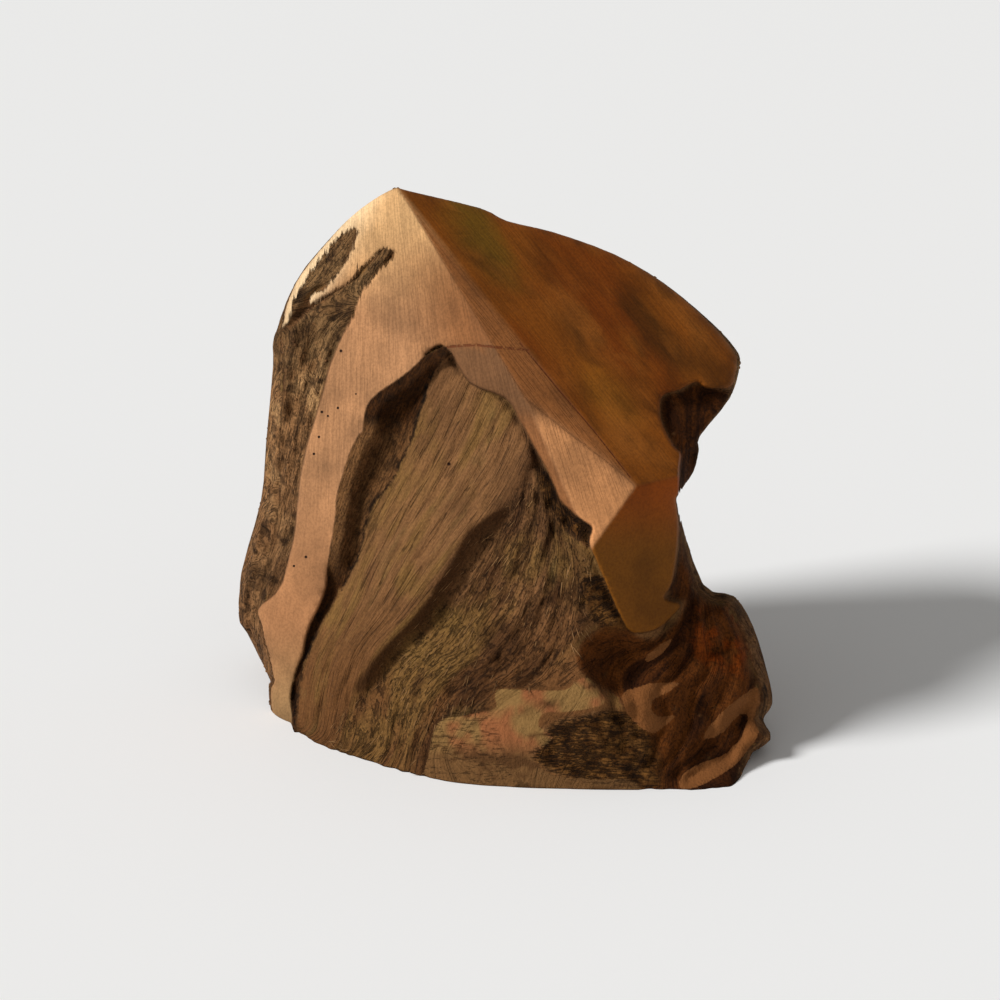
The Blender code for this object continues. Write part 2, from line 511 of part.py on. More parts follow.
def wrap(form, cell):
    """Points on the root's surface, one for each cell it runs through, and the faces between them."""
    sides = [np.arange(low, high, cell) for low, high in zip(BLOCK_LOW, BLOCK_HIGH)]
    shape = [len(side) for side in sides]
    value = np.empty(shape)
    for i, x in enumerate(sides[0]):
        y, z = np.meshgrid(sides[1], sides[2], indexing="ij")
        value[i] = form.outside(np.stack((np.full(y.size, x), y.ravel(), z.ravel()), 1)).reshape(y.shape)
    stride = np.array([shape[1] * shape[2], shape[2], 1])
    total, count, quads = np.zeros((value.size, 3)), np.zeros(value.size), []
    for axis in range(3):
        here = np.take(value, np.arange(shape[axis] - 1), axis)
        there = np.take(value, np.arange(1, shape[axis]), axis)
        corner = np.argwhere((here < 0) != (there < 0))
        near, far = here[tuple(corner.T)], there[tuple(corner.T)]
        crossing = corner.astype(float)
        crossing[:, axis] += near / (near - far)
        second, third = (axis + 1) % 3, (axis + 2) % 3
        around = [
            corner @ stride - back * stride[second] - down * stride[third]
            for back, down in ((1, 1), (0, 1), (0, 0), (1, 0))
        ]
        for number in around:
            count += np.bincount(number, minlength=value.size)
            for k in range(3):
                total[:, k] += np.bincount(number, crossing[:, k], value.size)
        around = np.stack(around, 1)
        quads.append(np.where((near < 0)[:, None], around, around[:, ::-1]))
    used = np.flatnonzero(count)
    order = np.full(value.size, -1)
    order[used] = np.arange(len(used))
    points = total[used] / count[used, None] * cell + BLOCK_LOW
    return points, order[np.vstack(quads)]


def settle(form, points, cell):
    """The points moved onto the surface along its slope."""
    reach = SLOPE_REACH * cell
    for _ in range(SETTLING):
        slope = np.empty(points.shape)
        for axis in range(3):
            shift = np.zeros(3)
            shift[axis] = reach
            slope[:, axis] = (form.outside(points + shift) - form.outside(points - shift)) / (2 * reach)
        step = form.outside(points) / np.maximum((slope**2).sum(1), LEAST_SLOPE)
        points = points - slope * np.clip(step, -SETTLING_REACH * cell, SETTLING_REACH * cell)[:, None]
    return points


def mend_pinches(shape):
    """Closes the few short edges where four faces meet."""
    for _ in range(PINCH_ROUNDS):
        pinched = [edge for edge in shape.edges if len(edge.link_faces) > 2]
        if not pinched:
            break
        bmesh.ops.collapse(shape, edges=pinched)
        bmesh.ops.dissolve_degenerate(shape, dist=CELL * MM * PINCH_SIZE, edges=shape.edges[:])


def cast_root(form):
    """The root's surface as a fine mesh in metres."""
    points, quads = wrap(form, CELL)
    points = settle(form, points, CELL) - (MIDDLE_ACROSS, MIDDLE_BACK, 0.0)
    mesh = bpy.data.meshes.new("fine_root")
    mesh.from_pydata(points * MM, [], quads)
    shape = bmesh.new()
    shape.from_mesh(mesh)
    mend_pinches(shape)
    shape.to_mesh(mesh)
    shape.free()
    return mesh


def lighten(mesh, faces):
    """The same form with fewer faces, kept close where it bends."""
    dense = bpy.data.objects.new("dense_root", mesh)
    bpy.context.scene.collection.objects.link(dense)
    fewer = dense.modifiers.new("fewer_faces", "DECIMATE")
    fewer.ratio = faces / (2 * len(mesh.polygons))
    graph = bpy.context.evaluated_depsgraph_get()
    light = bpy.data.meshes.new_from_object(dense.evaluated_get(graph))
    bpy.data.objects.remove(dense)
    return light


def drop_crumbs(shape):
    """Removes everything but the largest body."""
    left, bodies = set(shape.verts), []
    while left:
        body, edge = set(), {left.pop()}
        while edge:
            body |= edge
            edge = {link.other_vert(vertex) for vertex in edge for link in vertex.link_edges} - body
        left -= body
        bodies.append(body)
    for body in sorted(bodies, key=len)[:-1]:
        bmesh.ops.delete(shape, geom=list(body), context="VERTS")


def saw_base(mesh):
    """Cuts the root flat at the floor."""
    shape = bmesh.new()
    shape.from_mesh(mesh)
    everything = shape.verts[:] + shape.edges[:] + shape.faces[:]
    cut = bmesh.ops.bisect_plane(
        shape, geom=everything, dist=1e-7, plane_co=(0, 0, 0), plane_no=(0, 0, -1), clear_outer=True
    )
    rim = [edge for edge in cut["geom_cut"] if isinstance(edge, bmesh.types.BMEdge)]
    bmesh.ops.contextual_create(shape, geom=rim)
    for vertex in {corner for edge in rim for corner in edge.verts}:
        vertex.co.z = 0.0
    bmesh.ops.recalc_face_normals(shape, faces=shape.faces[:])
    drop_crumbs(shape)
    shape.to_mesh(mesh)
    shape.free()


def root_wood():
    material = bpy.data.materials.new("root_wood")
    material.use_nodes = True
    shader = material.node_tree.nodes["Principled BSDF"]
    shader.inputs["Base Color"].default_value = WOOD_COLOUR
    shader.inputs["Roughness"].default_value = WOOD_ROUGHNESS
    shader.inputs["Metallic"].default_value = 0.0
    return material


def heather_root():
    mesh = lighten(cast_root(RootForm(SHEET_STEP)), FACES)
    saw_base(mesh)
    mesh.name = NODE
    mesh.materials.append(root_wood())
    mesh.shade_smooth()
    mesh.set_sharp_from_angle(angle=SHARP_ANGLE)
    root = bpy.data.objects.new(NODE, mesh)
    bpy.context.scene.collection.objects.link(root)
    return root


clear_scene()
heather_root()
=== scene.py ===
"""Looks of the heather root: sawn and sanded faces, weathered grain, bark, torn fibres and crumbs of bark.

Everything is in metres in the CAD's frame. The front is set out in millimetres on a sheet that leans back
from the vertical, as the CAD's own source sets it out, so each mark lies on the form that it belongs to.
"""

import logging
import math
from dataclasses import dataclass, field
from enum import Enum

import bmesh
import bpy
import numpy as np
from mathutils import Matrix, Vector


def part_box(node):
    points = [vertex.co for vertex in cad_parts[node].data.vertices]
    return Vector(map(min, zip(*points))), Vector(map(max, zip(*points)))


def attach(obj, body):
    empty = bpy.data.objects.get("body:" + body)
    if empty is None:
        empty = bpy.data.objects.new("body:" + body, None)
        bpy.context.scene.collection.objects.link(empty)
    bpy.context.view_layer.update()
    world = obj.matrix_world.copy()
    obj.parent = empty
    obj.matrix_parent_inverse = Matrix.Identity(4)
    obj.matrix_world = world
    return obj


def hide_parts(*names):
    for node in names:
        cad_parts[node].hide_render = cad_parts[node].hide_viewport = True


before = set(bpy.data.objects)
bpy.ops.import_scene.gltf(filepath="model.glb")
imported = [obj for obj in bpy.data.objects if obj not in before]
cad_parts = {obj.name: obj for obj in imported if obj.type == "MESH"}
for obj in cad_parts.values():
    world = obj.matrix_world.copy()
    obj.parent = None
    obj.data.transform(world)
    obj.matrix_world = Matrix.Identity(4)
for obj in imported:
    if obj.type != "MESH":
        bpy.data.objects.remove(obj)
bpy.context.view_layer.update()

LOG = logging.getLogger("heather_root")
NODE = "heather_root"
BODY = "root"
MM = 0.001

Grid = np.ndarray
Points = np.ndarray
Line = tuple[tuple[float, ...], ...]
Span = tuple[float, float]
Tone = tuple[float, ...]
Socket = bpy.types.NodeSocket

# Place of the sheet and of the block, in millimetres
SHEET_LEAN = math.radians(20.0)
EYE_TO_SHEET = 750.0
EYE_UP = 72.5
MIDDLE_ACROSS = 0.03
MIDDLE_BACK = 51.01
MIDDLE = np.array([MIDDLE_ACROSS, MIDDLE_BACK, 0.0])
SHEET_LOW = (-88.0, -24.0)
SHEET_HIGH = (88.0, 168.0)
BLOCK_LOW = np.array([-76.0, -8.0, -6.0])
BLOCK_HIGH = np.array([76.0, 112.0, 146.0])
FAR_AWAY = 1e9

# Which way the saw ran over the roof: across and up
SAW_RUN = (0.625, -0.781)

# Outline of the root on the sheet: across, up, deep, and the radius that the edge is rounded to.
# A radius of 0 marks where the front meets the floor.
OUTLINE = (
    (-25.75, 150.5, 9.5, 2), (-22.75, 149.75, 11, 1.5), (-5, 145.5, 17.5, 1.5), (1.75, 142.25, 18.7, 2),
    (13.25, 139.5, 23, 2), (28.5, 134, 27.6, 2.5), (41, 126.75, 29.4, 3), (52.5, 117.25, 29.1, 4),
    (58.75, 110.5, 27.8, 5), (60, 106.5, 25.7, 5), (57.5, 98, 20, 4), (50, 88.5, 12, 3), (49.75, 85, 11, 3),
    (48.4, 79.6, 8, 3), (45, 74.2, 4.5, 3), (44.5, 70.5, 5, 4), (50.75, 51.5, 13, 8), (58.5, 48.5, 17, 9),
    (63.25, 41, 18, 10), (66.75, 29.75, 18, 10), (68.25, 21.75, 17, 9), (65.75, 17.5, 15, 8),
    (68, 12.5, 13, 7), (60.75, 4.75, 5, 5), (58.5, 0.25, 0.7, 0), (34, 0, 0, 0), (-4.5, 1, 2.2, 0),
    (-22.25, 3.9, 8.6, 0), (-31.25, 6.3, 13.9, 0), (-44.75, 11.2, 25, 0), (-51, 14.6, 33.2, 0),
    (-57.75, 23, 46, 4), (-57.5, 27.5, 46, 6), (-63.25, 39, 46, 11), (-65.75, 43.5, 45, 13),
    (-64.75, 54.5, 42, 14), (-59.75, 72.5, 39, 12), (-58.5, 86.75, 37, 10), (-56.75, 106, 34, 9),
    (-56.5, 113.5, 33.5, 7), (-51.6, 126.6, 29.2, 4), (-41.9, 138.6, 22.2, 3), (-36.3, 144.1, 18, 2),
    (-31.9, 147.4, 14.6, 2), (-28.5, 149.4, 11.8, 2),
)

# Sawn faces as planes: deep = first + second * across + third * up
SAWN_PLANES = (
    (9.2, -0.675, -0.112), (-81.9, 0.551, 0.70), (-25.1, 0.018, 0.193), (-9.5, 0.80, -0.364),
    (-46.5, 0.179, 0.4015),
)

# Lines along the sawn faces, each (across, up, deep)
RIBBON_LEFT = (
    (-26.75, 134.25, 12.2), (-33.5, 126, 17.4), (-37, 118, 20.4), (-42.75, 105.5, 24.4),
    (-46.75, 91.25, 28.2), (-50, 77.75, 31.2), (-51.5, 63.5, 34.2), (-54.25, 52.25, 37.4), (-60, 45.25, 43),
    (-59.5, 35.75, 44.4), (-57.75, 25, 45.4),
)
RIBBON_RIGHT = (
    (-13.25, 111, 5.4), (-21, 106.25, 9.4), (-29.75, 99.75, 15.2), (-34, 93.75, 18.4), (-35.75, 88, 20),
    (-39.75, 77.25, 23.4), (-41.25, 67.5, 26), (-43, 56.75, 28.6), (-43.25, 51, 30), (-48.5, 37.5, 35.8),
    (-51.75, 25, 40.4), (-51.6, 15.6, 35),
)
SHADE_FACE = (
    (22.6, 62, -14), (26, 53.5, -9.4), (30.25, 43, -4), (36.5, 40, 1.6), (42.5, 44, 6), (44, 60, 4.6),
    (44.6, 72, 1.6),
)
ROOF_FAR = (
    (-5, 145.5, 17.2), (28.5, 134, 27.6), (50, 116, 27), (55, 106, 22.6), (48, 97, 12.6),
)
SAWN_LINES = (RIBBON_LEFT, RIBBON_RIGHT, SHADE_FACE, ROOF_FAR)

# Edge of the sawn faces on the sheet: across, up. It runs past the outline where they reach it.
SAWN_EDGE = (
    (-25, 156), (-36, 150), (-46, 141), (-54, 129), (-60, 118), (-56, 114.5), (-52.25, 117.8),
    (-50.2, 120.5), (-48.2, 122.2), (-47.3, 121.2), (-45.6, 122.4), (-41.2, 124.8), (-37.2, 127.3),
    (-34.6, 130.3), (-31.6, 133.4), (-29, 135.4), (-26.6, 134.7), (-27.5, 132.4), (-30.6, 129.3),
    (-33.5, 126), (-35.25, 122.75), (-37, 118), (-39.25, 114), (-41, 110), (-42.75, 105.5), (-44, 100.5),
    (-45.5, 95.5), (-46.75, 91.25), (-48.25, 86.25), (-50, 77.75), (-50.75, 70.25), (-51.5, 63.5),
    (-53, 57.25), (-54.25, 52.25), (-56.5, 48.75), (-60.5, 45.25), (-59.75, 41.25), (-59.5, 35.75),
    (-58.25, 32.75), (-57.25, 27.75), (-58.5, 22), (-56, 14), (-52.6, 10), (-52, 17), (-52.25, 22.5),
    (-51.75, 26.5), (-50.75, 30), (-49, 34.5), (-48.5, 37.5), (-47.25, 41.5), (-45, 46), (-43.25, 51),
    (-43, 56.75), (-42, 63), (-41.25, 67.5), (-40.75, 73.75), (-39.75, 77.25), (-37.75, 83.5), (-35.75, 88),
    (-34.25, 89.75), (-34, 92.5), (-33, 96.5), (-29.75, 99.75), (-25.25, 102.75), (-21, 106.25),
    (-17.25, 110), (-13.25, 110.6), (-7.5, 101.75), (1.25, 98), (5.25, 92), (8, 87), (11.75, 80),
    (13.25, 76.75), (15, 72.5), (18, 69.5), (20.75, 67.25), (23, 65.5), (22.25, 62), (23.75, 58),
    (26, 52.75), (28, 48), (30.5, 42.75), (32.75, 39.5), (36.5, 39.5), (40, 40.75), (42.75, 43.25),
    (45.25, 46.5), (41, 48), (43, 51.75), (44.25, 59), (44.75, 65.75), (44.75, 73.5), (45, 81.5),
    (45.25, 84.25), (43.25, 86.25), (41, 90.5), (40, 93.75), (40.5, 98.5), (44.75, 100), (49, 102),
    (51.5, 100.5), (57.25, 100.5), (59.5, 102.5), (68, 104), (66, 114), (50, 128), (20, 146), (-10, 153),
)
SMALL_PATCH = (
    (-35.6, 140.4), (-37.2, 134.4), (-39, 131), (-41.8, 127.4), (-44.2, 125), (-46.6, 124.2),
    (-48.4, 120.4), (-52.4, 116), (-52.4, 119.6), (-50.4, 124.4), (-47.6, 129.2), (-45, 132.6),
    (-42.4, 136), (-39.4, 139),
)

# Lines along the natural surface, each (across, up, deep)
BARK_GROOVE = (
    (-29.4, 133.5, 14.8), (-33.5, 129.2, 18.4), (-37.8, 124, 22.6), (-41.2, 117, 26.2), (-45.5, 105, 30),
    (-49.2, 91, 33.4), (-52.2, 78, 36.2), (-53.8, 64, 38.6), (-57, 53.5, 42), (-62.4, 45, 46),
)
PATCH_FLOOR = ((-39.5, 136.5, 21), (-43.5, 131.5, 24.2), (-48, 125, 28.2), (-51.4, 119.4, 31.4))
POCKET_FLOOR = (
    (-14.4, 108.6, 9.5), (-20.6, 101.6, 14.6), (-28, 95, 19.2), (-32, 84, 23), (-37.4, 69, 27.6),
    (-39.6, 58.75, 31), (-41.4, 50, 33), (-46, 41.25, 37), (-49.4, 33, 40), (-51, 22.5, 41.8),
)
POCKET_RIGHT = (
    (-12.5, 107, 6.8), (-16, 104, 10), (-18.8, 96.5, 12.4), (-22, 86.75, 15.2), (-26.6, 77, 18.6),
    (-32, 70, 23.2), (-34, 60.25, 25.4), (-38, 51.5, 29), (-45.4, 38, 34.6), (-48.6, 31, 37),
    (-50, 20, 37.8),
)
POCKET_FAR = (
    (-13.6, 107.8, 9.5), (-18, 103.4, 14.2), (-21.8, 96, 18), (-25.4, 87, 20.8), (-30, 77.6, 24),
    (-34.6, 69.8, 27), (-36.8, 60.2, 29.8), (-39.8, 51.4, 32.6),
)
GRAIN_CREST = (
    (-5.5, 97.5, 3.6), (-12.5, 80, 8), (-20, 65, 12), (-28.75, 50, 18), (-38.75, 32.5, 26), (-45, 17, 30),
)
CREASE_LIP = (
    (0, 70.75, 0.8), (-5.25, 67.5, 2.2), (-9, 63.5, 3.6), (-14.75, 53.25, 8), (-21, 44.25, 12.2),
    (-29.75, 35.5, 19), (-35.75, 26.75, 23.4),
)
CREASE_FLOOR = (
    (1.8, 68.8, 2.4), (-2, 65, 7.4), (-5.4, 60.8, 10), (-11, 50.8, 13.8), (-17.2, 42, 17.6),
    (-26, 33, 22.8), (-32.4, 24.6, 25.6),
)
UNDER_TONGUE = (
    (-9, 100.4, 2.8), (0, 96, -1), (4.4, 91, -2.2), (7, 86, -3.4), (10.4, 79.4, -4.6), (13.4, 72.5, -5),
    (17, 68.2, -6), (20.6, 64.4, -8.6), (21, 61, -10), (22.6, 57, -8.6), (24.8, 51.8, -6.4), (29.2, 42, -2),
    (32, 37.6, 2.4), (37, 37.6, 4.6), (42.6, 41.4, 8.6),
)
HAIR_CREST = ((5, 74, -1.4), (8, 60, -1.6), (14, 48, -2.6), (12, 35, -1.6))
HAIR_EDGE = ((19.4, 52, -5.4), (21, 43, -4.4), (18.4, 34, -4.6))
HAIR_LOW = ((0, 44, 4.6), (-10, 34, 9), (-17.5, 24, 12.2), (-25, 18, 16))
STRIP_TOP = ((-6, 24.5, 2.8), (10, 24.5, -2.4), (22, 24.5, -5.4))
STRIP_LOW = ((-15, 8, 6), (8, 8, -0.4), (26, 8, -2.6), (40, 6, -1.4))
NECK_GROOVE = (
    (42.6, 47.6, 9.6), (44.8, 51.6, 9.8), (46, 59, 9.4), (46.4, 66, 8.4), (46.6, 74, 8),
)
EAVES_HOLLOW = (
    (43.6, 88, 6.6), (42.8, 93, 9), (44, 97, 13.4), (48, 97.4, 18), (54, 98, 22.4),
)
ROOT_HOLLOW = (
    (23, 34.5, 0.6), (24.2, 30.5, 1), (27.2, 26.4, 2.2), (30.6, 25.8, 3.4), (34, 28.8, 5.4),
    (33, 32.5, 5.8), (29, 35.4, 4.6), (25.6, 36.8, 2), (23, 34.5, 0.6),
)
ROOT_HOLLOW_RIM = (
    (19.8, 33, -4.6), (21.6, 28, -5.2), (25.8, 22.2, -5.8), (30.4, 21.4, -4.4), (37, 24.6, -0.6),
)
HOOK_GROOVE = ((39.6, 20.8, 2), (43, 22.4, 4.4), (47.4, 26.2, 7))
ARC_GROOVE = ((60, 17.4, 13.4), (54.6, 12, 9.4), (49.6, 8.6, 6.4))
WORN_BEND = (
    (45, 25.6, 3.4), (37.6, 22, -1), (34, 15.6, -2.8), (38, 12.6, -1.4), (43, 17, 1.4),
)
WORN_BOW = ((50, 13, 4.4), (57, 21.6, 9.8), (63, 24, 14.4), (61, 13, 10.6), (47, 2.6, 1.4))
BARK_FOLD = (
    (49, 52, 12.4), (47.6, 45, 9.4), (44, 38, 8.2), (47.6, 30, 7.8), (53, 17.6, 9.8),
)
BARK_CHEEK = ((52.6, 44, 11), (58, 36, 12.6), (60, 29, 13))
NATURAL_LINES = (
    BARK_GROOVE, PATCH_FLOOR, POCKET_FLOOR, POCKET_FAR, POCKET_RIGHT, GRAIN_CREST, CREASE_LIP,
    CREASE_FLOOR, UNDER_TONGUE, HAIR_CREST, HAIR_EDGE, HAIR_LOW, STRIP_TOP, STRIP_LOW, NECK_GROOVE,
    EAVES_HOLLOW, ROOT_HOLLOW, ROOT_HOLLOW_RIM, HOOK_GROOVE, ARC_GROOVE, WORN_BEND, WORN_BOW, BARK_FOLD,
    BARK_CHEEK,
)

# Furrows that follow the growth: the first line, the last line, how many, their depth and half-width
GRAIN_LEFT = (
    (-14.5, 106), (-21, 92), (-27, 79), (-35.5, 62), (-43, 44), (-49, 30), (-51, 15),
)
GRAIN_RIGHT = (
    (8.5, 90), (2.5, 77.5), (-4.5, 66.8), (-14.5, 54), (-22, 44.5), (-32, 33), (-38, 12),
)
HAIR_FIRST = (
    (9.5, 87), (5.5, 78), (2, 69.5), (-6, 55), (-16, 40), (-28, 28), (-32, 10),
)
HAIR_LAST = (
    (13, 80), (16.5, 69), (20, 56), (18.5, 40), (12, 28), (0, 20), (-10, 8),
)
COIL_FIRST = (
    (47, 84), (46, 68), (44, 50), (38, 37), (33.6, 37), (24, 32), (26, 24), (30, 10),
)
COIL_LAST = (
    (49.6, 84), (48, 62), (56, 49), (61.5, 41), (66, 28), (64, 16), (60, 7), (48, 2),
)
FLANK_FIRST = (
    (-33, 130), (-39, 121), (-45, 105), (-49, 90), (-52.5, 76), (-54.5, 62), (-61, 47), (-60, 34),
)
FLANK_LAST = (
    (-50, 119), (-56, 112), (-57, 98), (-58, 86), (-60, 72), (-65, 54), (-65, 42), (-61, 32),
)
FURROWS = (
    (GRAIN_LEFT, GRAIN_RIGHT, 8, 0.8, 0.9), (HAIR_FIRST, HAIR_LAST, 8, 0.7, 1),
    (COIL_FIRST, COIL_LAST, 6, 1.4, 1.3), (FLANK_FIRST, FLANK_LAST, 4, 1, 1.1),
)

# Knobs and pits of the bark: across, up, height towards the eye, and radius
KNOBS = (
    (57, 45.5, 2.6, 3.2), (62, 37, 2.2, 3.4), (65.5, 27, 2.4, 3.4), (58, 30, 1.8, 3.6), (51, 39, 2.2, 3.4),
    (66, 14, 2.6, 3), (60.5, 19, -1.8, 2.4), (54.5, 34.5, -2, 2), (49.5, 25, 1.6, 3), (46, 8, 1.4, 3),
    (56, 8.5, -1.6, 2.6), (44, 31.5, -2, 2.2), (-62, 52, 1.8, 3.6), (-62.5, 42, 1.6, 3),
    (-57, 68, 1.8, 3.6), (-54.5, 83, 1.4, 3), (-58.5, 60, -1.8, 2.4), (-55, 96, 1.6, 3.2),
    (-51.5, 103, -1.4, 2.4), (-50, 111, 1.4, 3), (-56, 76, -1.6, 2.2), (12.5, 71.5, -2.4, 1.8),
    (17.5, 67, -2.6, 1.8), (21, 47, -1.6, 2.2), (-12, 24.5, -2, 2), (-17, 30, 1.2, 4), (1, 32, -1.6, 1.8),
    (12, 46.5, -1.4, 1.8), (13, 10, -1.4, 3.6), (24, 13, 1.2, 3.4),
)

# Flat saw cut through the back: its outward normal, and its distance from the burl's middle
BACK_CUT_NORMAL = (-0.36, 0.90, 0.25)
BACK_CUT_DISTANCE = 61.0

# Borders of the kinds of surface on the sheet: across, up
LEFT_BARK = (
    (-26.75, 134.6), (-33.5, 126), (-37, 118), (-42.75, 105.5), (-46.75, 91.25), (-50, 77.75),
    (-51.5, 63.5), (-54.25, 52.25), (-60, 45.25), (-59.5, 35.75), (-57.75, 25), (-75, 18), (-78, 120),
    (-56, 114.5), (-45, 122), (-34.75, 128.75), (-29, 135.5),
)
UPPER_BARK = (
    (-36, 141), (-38, 134), (-41.5, 126.5), (-46, 126), (-54, 116), (-56, 122), (-44, 138),
)
POCKET_BARK = (
    (-12, 112), (-21, 107.5), (-30.5, 101), (-36, 92), (-41, 77.25), (-43, 63), (-45, 50), (-49.5, 37.5),
    (-53.5, 24), (-53, 14), (-51, 14), (-50, 27), (-46.2, 38), (-39, 51.5), (-34.6, 60.25), (-32.4, 70),
    (-27, 77), (-22.4, 86.75), (-19.2, 96.5), (-16, 105), (-12.5, 108.6),
)
COILED_BARK = (
    (44, 90), (62, 92), (76, 50), (78, -12), (36, -12), (35, 3), (30, 7), (24, 9.5), (22, 14), (25, 19),
    (31, 20), (28, 24), (24, 26), (19, 31), (20, 36.5), (24, 40), (30, 43), (36, 38), (43, 41), (46, 47),
    (42, 49), (44.5, 60), (44, 84),
)
EAVES_BARK = (
    (40, 93), (40.5, 98.5), (44.75, 100), (49, 102), (57.25, 100.5), (64, 102), (64, 84), (46, 83),
)
TORN_EDGE = (
    (8.6, 80.5), (12.6, 79.6), (18.8, 72.5), (25, 66.2), (26.5, 62), (22, 60.6), (15.6, 65.6), (10.8, 72),
)
TORN_CORNER = (
    (21, 53.8), (28, 52.5), (31.4, 47.5), (33.8, 41.2), (25, 40.6), (20, 47.5),
)
STRIP_BARK = (
    (7, 9), (10.25, 12), (12.5, 16.5), (20, 18.5), (34.75, 19.25), (40, 1), (30, 1.2), (24, 1.4), (17, 2.6),
    (10.5, 5.6),
)
CREASE_BARK = (
    (1.8, 69.4), (0, 70.2), (-5, 67), (-9, 63), (-14.6, 53), (-21, 44), (-29.4, 35.4), (-36, 26.6),
    (-34, 24.6), (-26, 32), (-17, 40.6), (-10.6, 49.4), (-5, 58.6), (0, 64.6),
)
ROUGH_HAIR = (
    (2, 72), (-4, 66.5), (-8, 61.5), (-14, 52), (-20.5, 42.5), (-29, 33.5), (-35, 24), (-42, 10), (-20, -6),
    (4, -6), (-2, 20), (0, 25), (16, 26), (19, 31), (20, 38), (24, 46), (23, 56), (18, 64), (12, 71),
    (8, 78),
)
LOWER_STRIP = (
    (-9.75, 18.5), (-1.25, 20.25), (-1.25, 23), (-0.25, 25.25), (6.75, 25), (16.25, 25), (19, 27.25),
    (22, 28), (24.75, 25), (26.25, 22.25), (24, 20.75), (16.25, 19.5), (11, 19.25), (9.5, 16), (13.25, 13),
    (8, 8), (14, 3.4), (24, 2.6), (34, 2), (34, -8), (-6, -8), (-18, 2), (-18, 8), (-15.5, 16.75),
)
WORN_TIP = ((36, 32.75), (38.75, 35.25), (42, 37.5), (43.25, 37.75), (40.75, 34.5), (37.5, 32.25))
WORN_HOOK = (
    (30.75, 24.25), (35.5, 26), (38.5, 26.75), (44, 26.75), (45.5, 27), (42, 24.5), (38.75, 22.75),
    (37.75, 21), (38.5, 19), (40.75, 18.25), (44.25, 19), (42, 16.75), (38.5, 14.25), (35.5, 15.5),
    (32.5, 18.25), (31, 21),
)
WORN_ARC = (
    (51, 12.75), (52, 15.5), (55, 19), (58.75, 22.25), (60.5, 23.5), (63.75, 25.75), (65.5, 25),
    (65.25, 18.75), (65.25, 16), (63, 11), (59, 6.5), (55, 3.75), (49.75, 1), (45.5, 0.25), (45, 2.5),
    (47, 5), (51.75, 7.25), (56, 8.75), (59.75, 12.5), (61.25, 15.5), (62, 19), (59.25, 18.25),
    (56.75, 15.5), (54.25, 13.5),
)

# Kinds of surface: the borders of each, and the width of its soft edge
TORN_BORDERS = (TORN_EDGE, TORN_CORNER, STRIP_BARK)
KINDS = {
    "bark": ((LEFT_BARK, UPPER_BARK, POCKET_BARK, COILED_BARK, EAVES_BARK) + TORN_BORDERS, 1.2),
    "tattered": (TORN_BORDERS, 4),
    "crease": ((CREASE_BARK,), 0.9),
    "rough": ((ROUGH_HAIR,), 3),
    "left": ((LEFT_BARK, UPPER_BARK), 1),
    "pocket": ((POCKET_BARK,), 1),
    "coil": ((COILED_BARK, EAVES_BARK), 3),
    "worn": ((WORN_TIP, WORN_HOOK, WORN_ARC), 1.6),
    "strip": ((LOWER_STRIP,), 2),
}

# Holes that beetles left: across, up, radius
PIN_HOLES = (
    (-39.75, 109.75, 0.42), (-40.5, 95.5, 0.36), (-43, 93.5, 0.32), (-44.5, 94.5, 0.40),
    (-45.25, 88.25, 0.36), (-46.5, 84, 0.38), (-48.5, 58.25, 0.40), (-51.5, 56, 0.34), (-12.75, 81.5, 0.50),
    (-36, 99, 0.24),
)

# Names under which the body's points carry their colours and kinds
STORED = (
    "sawn_tint", "natural_tint", "bare_tint", "detail", "edge", "roofed", "face", "place", "pattern",
    "growth", "bare", "level", "splinter", "crumb",
)


def linear(red: int, green: int, blue: int) -> Tone:
    """A colour for a shader.

    Args:
        red: red as a display shows it, 0 to 255.
        green: green.
        blue: blue.

    Returns:
        The linear colour with full alpha.
    """
    parts = []
    for value in (red, green, blue):
        share = value / 255
        parts.append(share / 12.92 if share <= 0.04045 else ((share + 0.055) / 1.055) ** 2.4)
    return (parts[0], parts[1], parts[2], 1.0)


def smooth_line(points: Line, closed: bool = False, pieces: int = 6) -> Points:
    """The points joined by a Catmull-Rom curve.

    Args:
        points: the points, each with two or more numbers.
        closed: whether the last joins the first.
        pieces: pieces from each point to the next.

    Returns:
        The points of the curve.
    """
    p = np.array(points, float)
    if closed:
        before, start, end, after = np.roll(p, 1, 0), p, np.roll(p, -1, 0), np.roll(p, -2, 0)
    else:
        longer = np.vstack((2 * p[0] - p[1], p, 2 * p[-1] - p[-2]))
        before, start, end, after = longer[:-3], longer[1:-2], longer[2:-1], longer[3:]
    made = []
    for t in np.arange(pieces) / pieces:
        bend = 2 * start + (end - before) * t
        bend = bend + (2 * before - 5 * start + 4 * end - after) * t**2
        bend = bend + (3 * start - before - 3 * end + after) * t**3
        made.append(bend / 2)
    line = np.stack(made, 1).reshape(-1, p.shape[1])
    return line if closed else np.vstack((line, p[-1]))


def soft_max(a: Grid, b: Grid, width: float) -> Grid:
    """The larger of two, with the corner between them rounded over this width."""
    near = np.maximum(width - np.abs(a - b), 0) / width
    return np.maximum(a, b) + near**2 * width / 4


def smooth_step(values: Grid, low: float, high: float) -> Grid:
    """A soft step: 0 at low and before it, 1 at high and past it, and smooth between."""
    part = np.clip((values - low) / (high - low), 0, 1)
    return part * part * (3 - 2 * part)


